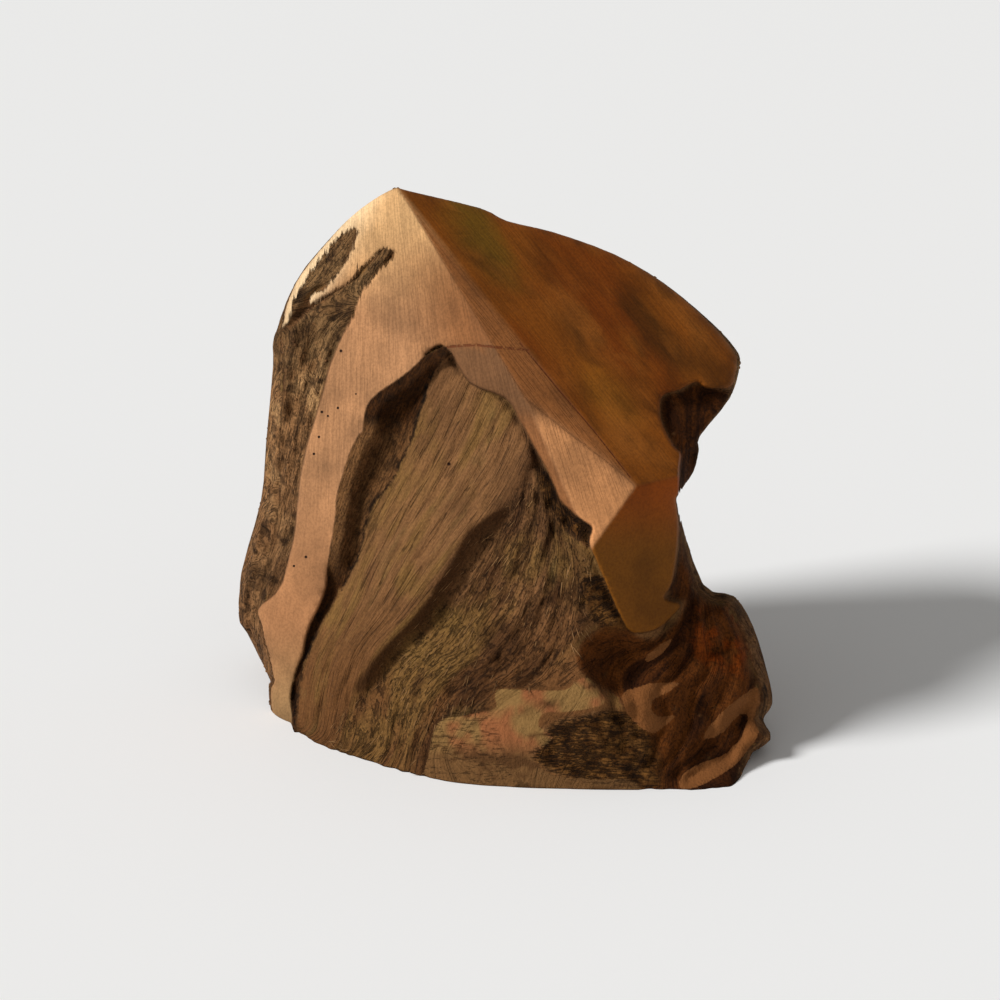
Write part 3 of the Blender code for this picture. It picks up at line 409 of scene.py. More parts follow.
@dataclass(frozen=True)
class Sheet:
    """The leaning sheet, as a grid of nodes.

    Attributes:
        step: spacing of the nodes, in millimetres.
        coarsest: how many times the spacing is doubled for the first stretch.
        relaxations: rounds of stretching at each spacing.
        drawing_step: how far apart a line marks nodes, as a share of the spacing.
        last_cell: keeps each place that is read inside the grid's last cell.
    """

    step: float = 0.5
    coarsest: int = 5
    relaxations: int = 130
    drawing_step: float = 0.3
    last_cell: float = 1.001

    def nodes(self, step: float | None = None) -> tuple[Grid, Grid]:
        """The nodes' places.

        Args:
            step: another spacing than the sheet's own.

        Returns:
            Across and up, each as a grid.
        """
        step = step or self.step
        across = np.arange(SHEET_LOW[0], SHEET_HIGH[0] + step / 2, step)
        up = np.arange(SHEET_LOW[1], SHEET_HIGH[1] + step / 2, step)
        return np.meshgrid(across, up)

    def read(self, values: Grid, across: Grid, up: Grid, step: float | None = None) -> Grid:
        """Values of a grid between its nodes.

        Args:
            values: the grid.
            across: places across the sheet.
            up: places up the sheet.
            step: another spacing than the sheet's own.

        Returns:
            A value for each place.
        """
        step = step or self.step
        rows, columns = values.shape
        x = np.clip((across - SHEET_LOW[0]) / step, 0, columns - self.last_cell)
        y = np.clip((up - SHEET_LOW[1]) / step, 0, rows - self.last_cell)
        i, j = y.astype(int), x.astype(int)
        fx, fy = x - j, y - i
        low = values[i, j] * (1 - fx) + values[i, j + 1] * fx
        high = values[i + 1, j] * (1 - fx) + values[i + 1, j + 1] * fx
        return low * (1 - fy) + high * fy

    def draw(self, lines: list[Points], step: float) -> tuple[Grid, Grid]:
        """Lines marked on the nodes.

        Args:
            lines: the lines, each (across, up, value).
            step: spacing of the nodes.

        Returns:
            The mean value at each node, and where there is one.
        """
        across, _ = self.nodes(step)
        total, count = np.zeros(across.shape), np.zeros(across.shape)
        for line in lines:
            for start, end in zip(line[:-1], line[1:]):
                parts = max(1, int(np.linalg.norm(end[:2] - start[:2]) / (self.drawing_step * step)))
                share = (np.arange(parts + 1) / parts)[:, None]
                place = start + (end - start) * share
                j = np.rint((place[:, 0] - SHEET_LOW[0]) / step).astype(int)
                i = np.rint((place[:, 1] - SHEET_LOW[1]) / step).astype(int)
                np.add.at(total, (i, j), place[:, 2])
                np.add.at(count, (i, j), 1)
        return total / np.maximum(count, 1), count > 0

    def stretch(self, lines: list[Points]) -> Grid:
        """A skin stretched over drawn lines: each free node lies at the mean of its four neighbours.

        Args:
            lines: the lines, each (across, up, value).

        Returns:
            The value at every node.
        """
        depth: Grid | None = None
        for level in range(self.coarsest, -1, -1):
            spacing = self.step * 2**level
            drawn, fixed = self.draw(lines, spacing)
            across, up = self.nodes(spacing)
            if depth is None:
                depth = np.full(across.shape, drawn[fixed].mean())
            else:
                depth = self.read(depth, across, up, 2 * spacing)
            for _ in range(self.relaxations):
                wide = np.pad(depth, 1, mode="edge")
                mean = (wide[:-2, 1:-1] + wide[2:, 1:-1] + wide[1:-1, :-2] + wide[1:-1, 2:]) / 4
                depth = np.where(fixed, drawn, mean)
        return depth

    def blur(self, values: Grid, sigma: float) -> Grid:
        """Gaussian blur.

        Args:
            values: the grid.
            sigma: the blur's width in millimetres.

        Returns:
            The blurred grid.
        """
        reach = max(1, int(3 * sigma / self.step))
        weights = np.exp(-0.5 * (np.arange(-reach, reach + 1) * self.step / sigma) ** 2)
        weights /= weights.sum()
        for axis in (0, 1):
            width = [(0, 0), (0, 0)]
            width[axis] = (reach, reach)
            wide = np.pad(values, width, mode="edge")
            values = np.apply_along_axis(np.convolve, axis, wide, weights, "valid")
        return values

    def away(self, line: Points) -> tuple[Grid, Grid]:
        """Distance from a line.

        Args:
            line: the line's points.

        Returns:
            The distance at each node, and the last number of the line where it is nearest.
        """
        across, up = self.nodes()
        nearest, carried = np.full(across.shape, FAR_AWAY), np.zeros(across.shape)
        for start, end in zip(line[:-1], line[1:]):
            run, rise = end[0] - start[0], end[1] - start[1]
            t = np.clip(((across - start[0]) * run + (up - start[1]) * rise) / (run**2 + rise**2), 0, 1)
            away = np.hypot(across - start[0] - t * run, up - start[1] - t * rise)
            closer = away < nearest
            nearest = np.where(closer, away, nearest)
            carried = np.where(closer, start[-1] + t * (end[-1] - start[-1]), carried)
        return nearest, carried

    def inside(self, edge: Points) -> tuple[Grid, Grid]:
        """Distance inside a closed edge.

        Args:
            edge: the edge's points.

        Returns:
            The distance, negative outside, and the last number of the edge where it is nearest.
        """
        across, up = self.nodes()
        within = np.zeros(across.shape, bool)
        for start, end in zip(edge, np.roll(edge, -1, 0)):
            if start[1] != end[1]:
                crosses = (start[1] > up) != (end[1] > up)
                slope = (end[0] - start[0]) / (end[1] - start[1])
                within ^= crosses & (across < start[0] + (up - start[1]) * slope)
        nearest, carried = self.away(np.vstack((edge, edge[:1])))
        return np.where(within, nearest, -nearest), carried

    def region(self, borders: tuple[Line, ...], softness: float) -> Grid:
        """Where any of several borders encloses a node.

        Args:
            borders: the closed borders.
            softness: width of the soft edge, in millimetres.

        Returns:
            1 inside and 0 outside.
        """
        across, _ = self.nodes()
        share = np.zeros(across.shape)
        for border in borders:
            within, _ = self.inside(smooth_line(border, closed=True, pieces=3))
            share = np.maximum(share, smooth_step(within, -softness / 2, softness / 2))
        return share


@dataclass(frozen=True)
class ValueNoise:
    """Smooth noise from random numbers on a cubic lattice.

    Attributes:
        cell: size of a lattice cell.
        seed: the random seed.
        lattice: how many cells before it repeats.
    """

    cell: float
    seed: int
    lattice: int = 32

    def at(self, points: Points) -> Grid:
        """The noise at these points.

        Args:
            points: rows of three coordinates.

        Returns:
            Values from -1 to 1.
        """
        numbers = np.random.default_rng(self.seed).uniform(-1, 1, (self.lattice,) * 3)
        scaled = points / self.cell
        base = np.floor(scaled).astype(int)
        part = scaled - base
        part = part * part * (3 - 2 * part)
        total = np.zeros(len(points))
        for corner in np.ndindex(2, 2, 2):
            weight = np.prod(np.where(corner, part, 1 - part), axis=1)
            i, j, k = ((base + corner) % self.lattice).T
            total += weight * numbers[i, j, k]
        return total

    def on_grid(self, across: Grid, up: Grid) -> Grid:
        """The noise over a grid of places."""
        flat = np.stack((across.ravel(), up.ravel(), np.zeros(across.size)), 1)
        return self.at(flat).reshape(across.shape)


@dataclass
class GrowthFlow:
    """How the fibres run over the natural front: coordinates across and along them, in millimetres."""

    sheet: Sheet
    lines_each: int = 7
    blur_width: float = 1.2
    lead: float = 14.0
    gap: float = 2.0
    patch_run: Span = (0.57, 0.82)
    patch_joint: Span = (-45.0, 118.0)
    patch_rise: Span = (112.0, 128.0)
    patch_side: Span = (-18.0, -22.0)
    across: Grid = field(init=False)
    along: Grid = field(init=False)

    def __post_init__(self) -> None:
        """Stretches both coordinates over lines between the first and last of each set of furrows."""
        across_lines, along_lines = [], []
        start_at = 0.0
        for first, last, *_ in FURROWS:
            first, last = smooth_line(first), smooth_line(last)
            width = np.linalg.norm(first - last, axis=1).mean()
            for k in range(self.lines_each):
                share = k / (self.lines_each - 1)
                middle = first + (last - first) * share
                lead = middle[0] - middle[4]
                middle = np.vstack((middle[0] + lead * self.lead / np.linalg.norm(lead), middle))
                length = np.concatenate(([0], np.cumsum(np.linalg.norm(np.diff(middle, axis=0), axis=1))))
                same = np.full(len(middle), start_at + share * width)
                across_lines.append(np.column_stack((middle, same)))
                along_lines.append(np.column_stack((middle, length)))
            start_at += width + self.gap
        self.across = self.sheet.blur(self.sheet.stretch(across_lines), self.blur_width)
        self.along = self.sheet.blur(self.sheet.stretch(along_lines), self.blur_width)
        across, up = self.sheet.nodes()
        patch = smooth_step(up, *self.patch_rise) * smooth_step(across, *self.patch_side)
        run, rise = self.patch_run
        joint = [np.array([place]) for place in self.patch_joint]
        to_across, to_along = rise * across - run * up - self.across, -run * across - rise * up - self.along
        self.across = self.across + (to_across - self.sheet.read(to_across, *joint)) * patch
        self.along = self.along + (to_along - self.sheet.read(to_along, *joint)) * patch


@dataclass
class RootForm:
    """The root as a test of a point: negative inside and positive outside, in millimetres.

    The broad form is the CAD's. Finer ridges of the grain and lumps of the bark are added to it.
    """

    sheet: Sheet = field(default_factory=Sheet)
    burl_middle: tuple[float, float, float] = (0.0, 44.0, 52.0)
    burl_radii: tuple[float, float, float] = (80.0, 56.0, 106.0)
    burl_power: float = 3.0
    saw_depth_below: float = 2.0
    below_floor: float = 30.0
    floor_radius: float = 1.0
    side_taper: float = 0.16
    side_curve: float = 0.0024
    lumps: tuple[tuple[float, float, int], ...] = (
        (30.0, 5.0, 11), (13.0, 2.4, 12), (6.0, 1.0, 13), (2.9, 0.5, 14),
    )
    lumps_start: float = 14.0
    blend_burl: float = 8.0
    blend_edges: float = 0.9
    blend_cuts: float = 0.7
    natural_step: float = 1.1
    natural_blur: float = 0.9
    sawn_blur: float = 3.0
    radius_blur: float = 3.0
    hollow_blur: float = 3.0
    furrow_wander: float = 0.5
    furrow_seed: int = 31
    furrow_depths: Span = (0.6, 1.2)
    ridge_share: float = 0.7
    ridge_sets: tuple[tuple[float, float, float, int], ...] = ((2.6, 24.0, 0.55, 41), (1.3, 12.0, 0.32, 42))
    torn_sets: tuple[tuple[float, float, float, int], ...] = ((3.0, 9.0, 0.7, 44), (1.2, 4.5, 0.45, 45))
    # How the painted shadow in the crease fades from the lip: gone at the first distance, full at the second
    crease_shadow_fade: Span = (6.5, 1.5)
    seam_fade: Span = (2.2, 0.0)
    flush_depth: float = 0.25
    flush_rise: Span = (111.0, 121.0)
    flush_calm: float = 0.7
    pocket_fill: float = 4.6
    pocket_fill_beside: Span = (-6.5, -2.0)
    pocket_fill_rise: Span = (48.0, 62.0)
    crust_sets: tuple[tuple[float, float, int], ...] = ((7.0, 0.9, 51), (3.4, 0.65, 52), (1.7, 0.35, 53))
    crust_least: float = 0.10
    crust_shares: tuple[tuple[str, float], ...] = (
        ("rough", 0.25), ("left", 1.1), ("pocket", 0.55), ("coil", 0.5), ("tattered", 0.6),
    )

    def __post_init__(self) -> None:
        """Draws the maps of the front."""
        sheet = self.sheet
        edge_line = smooth_line([row[:3] for row in OUTLINE], closed=True, pieces=3)
        edge_line = np.vstack((edge_line, edge_line[:1]))
        natural = [smooth_line(line) for line in NATURAL_LINES] + [edge_line]
        self.flow = GrowthFlow(sheet)
        self.kinds = {name: sheet.region(borders, softness) for name, (borders, softness) in KINDS.items()}
        lip, _ = sheet.away(smooth_line([row[:2] for row in CREASE_LIP]))
        # The crease's share fades with distance from the lip; as a colour it carries the painted shadow that
        # the lip casts
        self.kinds["crease"] *= smooth_step(lip, *self.crease_shadow_fade)
        seam, _ = sheet.away(smooth_line([row[:2] for row in POCKET_RIGHT]))
        self.kinds["seam"] = smooth_step(seam, *self.seam_fade)
        self.natural = sheet.blur(sheet.stretch(natural), self.natural_blur) + self.furrows() - self.knobs()
        sawn_lines = [self.above_planes(line) for line in SAWN_LINES]
        self.swell = sheet.blur(sheet.stretch(sawn_lines), self.sawn_blur)
        sawn, _ = sheet.inside(smooth_line(SAWN_EDGE, closed=True, pieces=3))
        across, up = sheet.nodes()
        flush = self.kinds["left"] * smooth_step(up, *self.flush_rise)
        self.natural += (self.sawn_planes(across, up) + self.swell + self.flush_depth - self.natural) * flush
        beside = self.kinds["pocket"] * smooth_step(sawn, *self.pocket_fill_beside)
        self.natural -= self.pocket_fill * (beside * smooth_step(up, *self.pocket_fill_rise))
        self.natural += self.fine_relief() * (1 - self.flush_calm * flush)
        patch, _ = sheet.inside(smooth_line(SMALL_PATCH, closed=True, pieces=3))
        self.sawn = np.minimum(sawn, -patch)
        drawn = [
            (x, y, radius) if radius else (x, y - self.below_floor, self.floor_radius)
            for x, y, _, radius in OUTLINE
        ]
        self.inset, radius = sheet.inside(smooth_line(drawn, closed=True, pieces=3))
        self.radius = sheet.blur(radius, self.radius_blur)
        self.front_map = self.front(across, up)
        self.hollow = self.front_map - sheet.blur(self.front_map, self.hollow_blur)

    def furrows(self) -> Grid:
        """How much deeper the furrows make each node."""
        random = np.random.default_rng(self.furrow_seed)
        across, _ = self.sheet.nodes()
        total = np.zeros(across.shape)
        for first, last, number, depth, width in FURROWS:
            first, last = smooth_line(first, pieces=4), smooth_line(last, pieces=4)
            for k in range(number):
                share = (k + 0.5) / number
                middle = first + (last - first) * share + random.normal(0, self.furrow_wander, first.shape)
                away, _ = self.sheet.away(middle)
                total += depth * random.uniform(*self.furrow_depths) * np.exp(-((away / width) ** 2))
        return total

    def knobs(self) -> Grid:
        """How much nearer the knobs bring each node."""
        across, up = self.sheet.nodes()
        total = np.zeros(across.shape)
        for x, y, height, radius in KNOBS:
            total += height * np.exp(-((across - x) ** 2 + (up - y) ** 2) / radius**2)
        return total

    def fine_relief(self) -> Grid:
        """Fine ridges along the grain and crust on the bark, as added depth."""
        across, up = self.sheet.nodes()
        ridges, crust = np.zeros(across.shape), np.zeros(across.shape)
        for wide, long, depth, seed in self.ridge_sets:
            noise = ValueNoise(1.0, seed).on_grid(self.flow.across / wide, self.flow.along / long)
            ridges += depth * (1 - 2 * np.abs(noise)) * self.ridge_share
        for cell, depth, seed in self.crust_sets:
            crust += depth * ValueNoise(cell, seed).on_grid(across, up)
        torn = np.zeros(across.shape)
        for wide, long, depth, seed in self.torn_sets:
            torn += depth * ValueNoise(1.0, seed).on_grid(self.flow.across / wide, self.flow.along / long)
        kinds = self.kinds
        grain = ridges * (0.42 + 0.5 * kinds["rough"]) * (1 - 0.6 * kinds["bark"])
        grain = grain + torn * np.maximum(kinds["rough"], kinds["left"])
        crusted = sum((share * kinds[name] for name, share in self.crust_shares), self.crust_least)
        smooth = np.maximum(kinds["worn"], kinds["strip"])
        return (grain + crust * crusted) * (1 - 0.7 * kinds["crease"]) * (1 - 0.85 * smooth)

    def sawn_planes(self, across: Grid, up: Grid) -> Grid:
        """The foremost faces that the saw left, as depths.

        Args:
            across: places across the sheet.
            up: places up the sheet.

        Returns:
            The depth at each place.
        """
        depths = [first + second * across + third * up for first, second, third in SAWN_PLANES]
        depth = depths[0]
        for plane in depths[1:]:
            depth = soft_max(depth, plane, self.blend_cuts)
        return depth

    def above_planes(self, line: Line) -> Points:
        """A line with its depths measured from the sawn planes.

        Args:
            line: the line's points.

        Returns:
            The smooth line.
        """
        smooth = smooth_line(line)
        smooth[:, 2] -= self.sawn_planes(smooth[:, 0], smooth[:, 1])
        return smooth

    def front(self, across: Grid, up: Grid) -> Grid:
        """Depth of the front.

        Args:
            across: places across the sheet.
            up: places up the sheet.

        Returns:
            The depth at each place.
        """
        sawn = self.sawn_planes(across, up) + self.sheet.read(self.swell, across, up)
        natural = self.sheet.read(self.natural, across, up)
        part = self.sheet.read(self.sawn, across, up) / self.natural_step + 0.5
        return natural + (sawn - natural) * smooth_step(part, 0, 1)

    def on_sheet(self, points: Points) -> tuple[Grid, Grid, Grid]:
        """Where points of the block show on the sheet.

        Args:
            points: rows of three, measured from the middle of the block's foremost edge.

        Returns:
            Across, up and deep.
        """
        x, y, z = points.T
        deep = y * math.cos(SHEET_LEAN) - z * math.sin(SHEET_LEAN)
        up = y * math.sin(SHEET_LEAN) + z * math.cos(SHEET_LEAN)
        scale = EYE_TO_SHEET / (EYE_TO_SHEET + deep)
        return x * scale, EYE_UP + (up - EYE_UP) * scale, deep

    def outside(self, points: Points) -> Grid:
        """The test itself.

        Args:
            points: rows of three coordinates.

        Returns:
            Roughly how far each point lies outside.
        """
        across, up, deep = self.on_sheet(points)
        behind = deep - self.front(across, up)
        inset = self.sheet.read(self.inset, across, up)
        radius = self.sheet.read(self.radius, across, up)
        lumps = np.zeros(len(points))
        for cell, height, seed in self.lumps:
            lumps += height * ValueNoise(cell, seed).at(points)
        turn = np.clip(radius - behind, 0, radius)
        past = np.maximum(behind - radius, 0)
        rounding = radius - np.sqrt(radius**2 - turn**2)
        fade = np.clip(past / self.lumps_start, 0, 1)
        narrower = self.side_taper * past + self.side_curve * past**2
        side = rounding + np.maximum(narrower + lumps * fade, 0) - inset
        from_middle = np.abs((points - np.array(self.burl_middle)) / np.array(self.burl_radii))
        length = (from_middle**self.burl_power).sum(1) ** (1 / self.burl_power)
        burl = (length - 1) * np.mean(self.burl_radii) + lumps
        body = soft_max(soft_max(side, burl, self.blend_burl), -behind, self.blend_edges)
        body = soft_max(body, self.back_cut(points), self.blend_cuts)
        return soft_max(body, -points[:, 2] - self.saw_depth_below, self.blend_cuts)

    def back_cut(self, points: Points) -> Grid:
        """How far points lie outside the flat saw cut at the back, negative inside."""
        facing = np.array(BACK_CUT_NORMAL) / np.linalg.norm(BACK_CUT_NORMAL)
        return (points - np.array(self.burl_middle)) @ facing - BACK_CUT_DISTANCE


@dataclass
class SurfaceNet:
    """A mesh wrapped round a form: one point for each cell that the surface runs through.

    Attributes:
        form: the form.
        cell: size of a cell, in millimetres.
        coarse: how many cells make one of the cells that find the surface roughly.
        settling: rounds that move the points onto the surface.
        at_once: how many corners are tested in one go.
    """

    form: RootForm
    cell: float = 0.66
    coarse: int = 4
    settling: int = 3
    settling_reach: float = 0.4
    slope_reach: float = 0.1
    least_slope: float = 0.2
    at_once: int = 400000

    def sides(self, cell: float) -> list[Points]:
        """Coordinates along each axis of the corners of cells of this size."""
        return [np.arange(low, high, cell) for low, high in zip(BLOCK_LOW, BLOCK_HIGH)]

    def values(self) -> Grid:
        """The form's test at every corner: exact near the surface, and only its sign elsewhere."""
        wide = self.sides(self.cell * self.coarse)
        shape = tuple(len(side) for side in wide)
        mesh = np.stack(np.meshgrid(*wide, indexing="ij"), -1).reshape(-1, 3)
        rough = self.form.outside(mesh).reshape(shape)
        sign = rough < 0
        near = np.zeros(shape, bool)
        for axis in range(3):
            change = np.diff(sign.astype(np.int8), axis=axis) != 0
            for shift in (0, 1):
                where = [slice(None)] * 3
                where[axis] = slice(shift, shift + change.shape[axis])
                near[tuple(where)] |= change
        for _ in range(2):
            grown = near.copy()
            for axis in range(3):
                grown |= np.roll(near, 1, axis) | np.roll(near, -1, axis)
            near = grown
        fine = self.sides(self.cell)
        index = []
        for side, wide_side in zip(fine, wide):
            nearest = np.rint(np.arange(len(side)) / self.coarse).astype(int)
            index.append(np.minimum(nearest, len(wide_side) - 1))
        look = np.ix_(*index)
        value = np.where(sign[look], -1.0, 1.0)
        wanted = np.argwhere(near[look])
        for start in range(0, len(wanted), self.at_once):
            part = wanted[start : start + self.at_once]
            points = np.stack([fine[axis][part[:, axis]] for axis in range(3)], 1)
            value[tuple(part.T)] = self.form.outside(points)
        return value

    def wrap(self) -> tuple[Points, Grid]:
        """The wrapped surface.

        Returns:
            Its points, and its four-sided faces as rows of point numbers.
        """
        value = self.values()
        shape = value.shape
        stride = np.array([shape[1] * shape[2], shape[2], 1])
        numbers, crossings, quads = [], [], []
        for axis in range(3):
            here = np.take(value, np.arange(shape[axis] - 1), axis)
            there = np.take(value, np.arange(1, shape[axis]), axis)
            corner = np.argwhere((here < 0) != (there < 0))
            near, far = here[tuple(corner.T)], there[tuple(corner.T)]
            crossing = corner.astype(float)
            crossing[:, axis] += near / (near - far)
            second, third = (axis + 1) % 3, (axis + 2) % 3
            around = [
                corner @ stride - back * stride[second] - down * stride[third]
                for back, down in ((1, 1), (0, 1), (0, 0), (1, 0))
            ]
            for number in around:
                numbers.append(number)
                crossings.append(crossing)
            around = np.stack(around, 1)
            quads.append(np.where((near < 0)[:, None], around, around[:, ::-1]))
        used, order = np.unique(np.concatenate(numbers), return_inverse=True)
        crossing = np.vstack(crossings)
        count = np.bincount(order)
        total = np.stack([np.bincount(order, crossing[:, k]) for k in range(3)], 1)
        points = total / count[:, None] * self.cell + BLOCK_LOW
        return points, np.searchsorted(used, np.vstack(quads))

    def settle(self, points: Points) -> Points:
        """The points moved onto the surface along its slope.

        Args:
            points: rows of three coordinates.

        Returns:
            The moved points.
        """
        reach = self.slope_reach * self.cell
        limit = self.settling_reach * self.cell
        for _ in range(self.settling):
            slope = np.empty(points.shape)
            for axis in range(3):
                shift = np.zeros(3)
                shift[axis] = reach
                rise = self.form.outside(points + shift) - self.form.outside(points - shift)
                slope[:, axis] = rise / (2 * reach)
            step = self.form.outside(points) / np.maximum((slope**2).sum(1), self.least_slope)
            points = points - slope * np.clip(step, -limit, limit)[:, None]
        return points


LAYER_SHARE = 0.6
CLOUD_SPREAD = 1.6


def cloud(points: Points, cell: float, seed: int, layers: int = 3) -> Grid:
    """Layered noise, each layer half the size of the last.

    Args:
        points: rows of three coordinates.
        cell: size of the broadest layer.
        seed: the random seed.
        layers: how many layers.

    Returns:
        Values from about -1 to 1.
    """
    total, weight = np.zeros(len(points)), 0.0
    for k in range(layers):
        share = LAYER_SHARE**k
        total += share * ValueNoise(cell / 2**k, seed + k).at(points)
        weight += share
    return total / weight * CLOUD_SPREAD


def laid_over(below: Points, above: object, share: Grid) -> Points:
    """Rows of colours, or one colour, laid over others: a share of 0 keeps those below."""
    over = np.asarray(above)[..., :3]
    return below + (over - below) * share[:, None]


@dataclass
class Spots:
    """What kind of surface each point of the body has.

    Attributes:
        points: places in the block.
        across: places across the sheet.
        up: places up the sheet.
        grown: coordinates across and along the growth.
        kinds: shares from 0 to 1 by name.
    """

    points: Points
    across: Grid
    up: Grid
    grown: Points
    kinds: dict[str, Grid]

    def place(self) -> Points:
        """Places on the sheet as rows of three."""
        return np.column_stack((self.across, self.up, np.zeros(len(self.up))))

    def coat(self, tone: Tone) -> Points:
        """One colour on every point."""
        return np.tile(np.array(tone[:3]), (len(self.up), 1))


@dataclass(frozen=True)
class SawnWood:
    """Sawn and sanded heather: pale on the left, browner on the roof, which has drawn-out stains, with part
    of its tone painted light and shade.

    In each tint, numbers beside across and up are millimetres on the sheet. Those in a cloud are the size of
    its patches in millimetres, its seed and its layers.

    Attributes:
        stains: middle across and up, half length, half width, tone and share of each stain.
    """

    # The tones top, middle, low and end, and the right tone, are partly painted shade: the sawn face darkens
    # downwards and to the right
    top: Tone = linear(212, 165, 112)
    middle: Tone = linear(172, 123, 83)
    low: Tone = linear(162, 112, 73)
    end: Tone = linear(142, 108, 70)
    # Painted highlight: the pale rim along the sawn face's left edge, where the key light falls
    rim_highlight: Tone = linear(240, 206, 160)
    right: Tone = linear(128, 76, 36)
    tongue_top: Tone = linear(116, 80, 51)
    tongue: Tone = linear(196, 135, 86)
    shoulder: Tone = linear(138, 85, 44)
    # The roof's base brown and the shaded face's browns are partly painted shade, darker than the wood on
    # the left where the faces turn from the key light; the stains are the wood's own
    roof: Tone = linear(142, 78, 20)
    rust: Tone = linear(122, 55, 8)
    ochre: Tone = linear(160, 94, 34)
    olive: Tone = linear(112, 82, 22)
    dark: Tone = linear(76, 44, 10)
    gold: Tone = linear(164, 100, 28)
    shade: Tone = linear(126, 75, 18)
    shade_top: Tone = linear(146, 70, 10)
    hidden: Tone = linear(160, 114, 74)
    stains: tuple[tuple[float, float, float, float, str, float], ...] = (
        (24.0, 120.0, 30.0, 11.0, "rust", 0.75), (19.0, 116.0, 12.0, 5.0, "ochre", 0.8),
        (-4.0, 138.0, 14.0, 5.0, "olive", 0.85), (-15.0, 132.0, 26.0, 2.6, "dark", 0.6),
        (-6.0, 120.0, 12.0, 4.0, "dark", 0.6), (10.0, 134.0, 9.0, 3.0, "dark", 0.4),
        (40.0, 115.0, 13.0, 4.4, "dark", 0.75), (27.0, 99.0, 13.0, 6.0, "gold", 0.9),
        (44.0, 122.0, 22.0, 3.0, "ochre", 0.5), (12.0, 105.0, 16.0, 3.6, "rust", 0.6),
        (32.0, 88.0, 9.0, 5.0, "ochre", 0.8), (54.0, 105.0, 9.0, 4.0, "dark", 0.5),
    )

    def roofing(self, spots: Spots) -> Points:
        """The roof's brown, with its stains.

        Args:
            spots: the points.

        Returns:
            Rows of colours.
        """
        across, up = spots.across, spots.up
        run, rise = SAW_RUN
        along, side = across * run + up * rise, up * run - across * rise
        ruled = np.column_stack((side, along * 0.3, np.zeros(len(up))))
        ragged = 0.5 * cloud(ruled, 5.0, 71, 4)
        colour = spots.coat(self.roof)
        for x, y, half_long, half_wide, tone, share in self.stains:
            away = along - x * run - y * rise
            aside = side - y * run + x * rise
            near = np.hypot(away / half_long, aside / half_wide) + ragged
            colour = laid_over(colour, getattr(self, tone), share * smooth_step(near, 1.3, 0.3))
        colour = laid_over(colour, self.dark, 0.5 * smooth_step(cloud(ruled, 2.4, 77), 0.1, 0.8))
        return laid_over(colour, self.ochre, 0.4 * smooth_step(cloud(ruled, 3.0, 78), 0.1, 0.8))

    def tint(self, spots: Spots) -> Points:
        """The colour at each point.

        Args:
            spots: the points.

        Returns:
            Rows of colours.
        """
        across, up, kinds = spots.across, spots.up, spots.kinds
        colour = spots.coat(self.top)
        # Partly painted shade: the sawn face darker towards the bottom
        colour = laid_over(colour, self.middle, smooth_step(up, 144.0, 116.0))
        colour = laid_over(colour, self.low, smooth_step(up, 84.0, 44.0))
        colour = laid_over(colour, self.end, smooth_step(up, 44.0, 20.0))
        # Painted highlight laid along the left rim of the sawn face
        rim_highlight = smooth_step(across - 0.55 * (up - 120), -42.0, -51.0) * smooth_step(up, 106.0, 114.0)
        colour = laid_over(colour, self.rim_highlight, 0.9 * rim_highlight)
        # Painted shade: the sawn face darker towards its right, turned from the key light
        darker = smooth_step(across - 0.25 * (150 - up), -36.0, -16.0) * smooth_step(up, 146.0, 126.0)
        colour = laid_over(colour, self.right, 0.75 * darker * (1 - kinds["tongue"]))
        top = smooth_step(up, 111.4, 110.4) * smooth_step(up, 91.0, 97.0)
        colour = laid_over(colour, self.tongue, kinds["tongue"])
        top = top * smooth_step(across + 0.5 * (up - 100), 14.0, 4.0) * smooth_step(across, -16.0, -12.0)
        colour = laid_over(colour, self.tongue_top, 0.85 * top)
        colour = laid_over(colour, self.shoulder, kinds["shoulder"])
        # Partly painted shade on the roof and on the shaded face
        colour = laid_over(colour, self.roofing(spots), kinds["roof"])
        shade = laid_over(spots.coat(self.shade), self.shade_top, smooth_step(up, 58.0, 76.0))
        colour = laid_over(colour, shade, kinds["shade"])
        colour = laid_over(colour, self.hidden, 1 - kinds["front"])
        pale = smooth_step(cloud(spots.place(), 6.0, 83, 5), -0.1, 0.7)
        pale = pale * (1 - kinds["roof"]) * (1 - kinds["shade"])
        colour = laid_over(colour, colour * 1.22, pale)
        grime = smooth_step(cloud(spots.place(), 9.0, 81, 5), -0.1, 0.7)
        return colour * (1 - 0.24 * grime)[:, None]


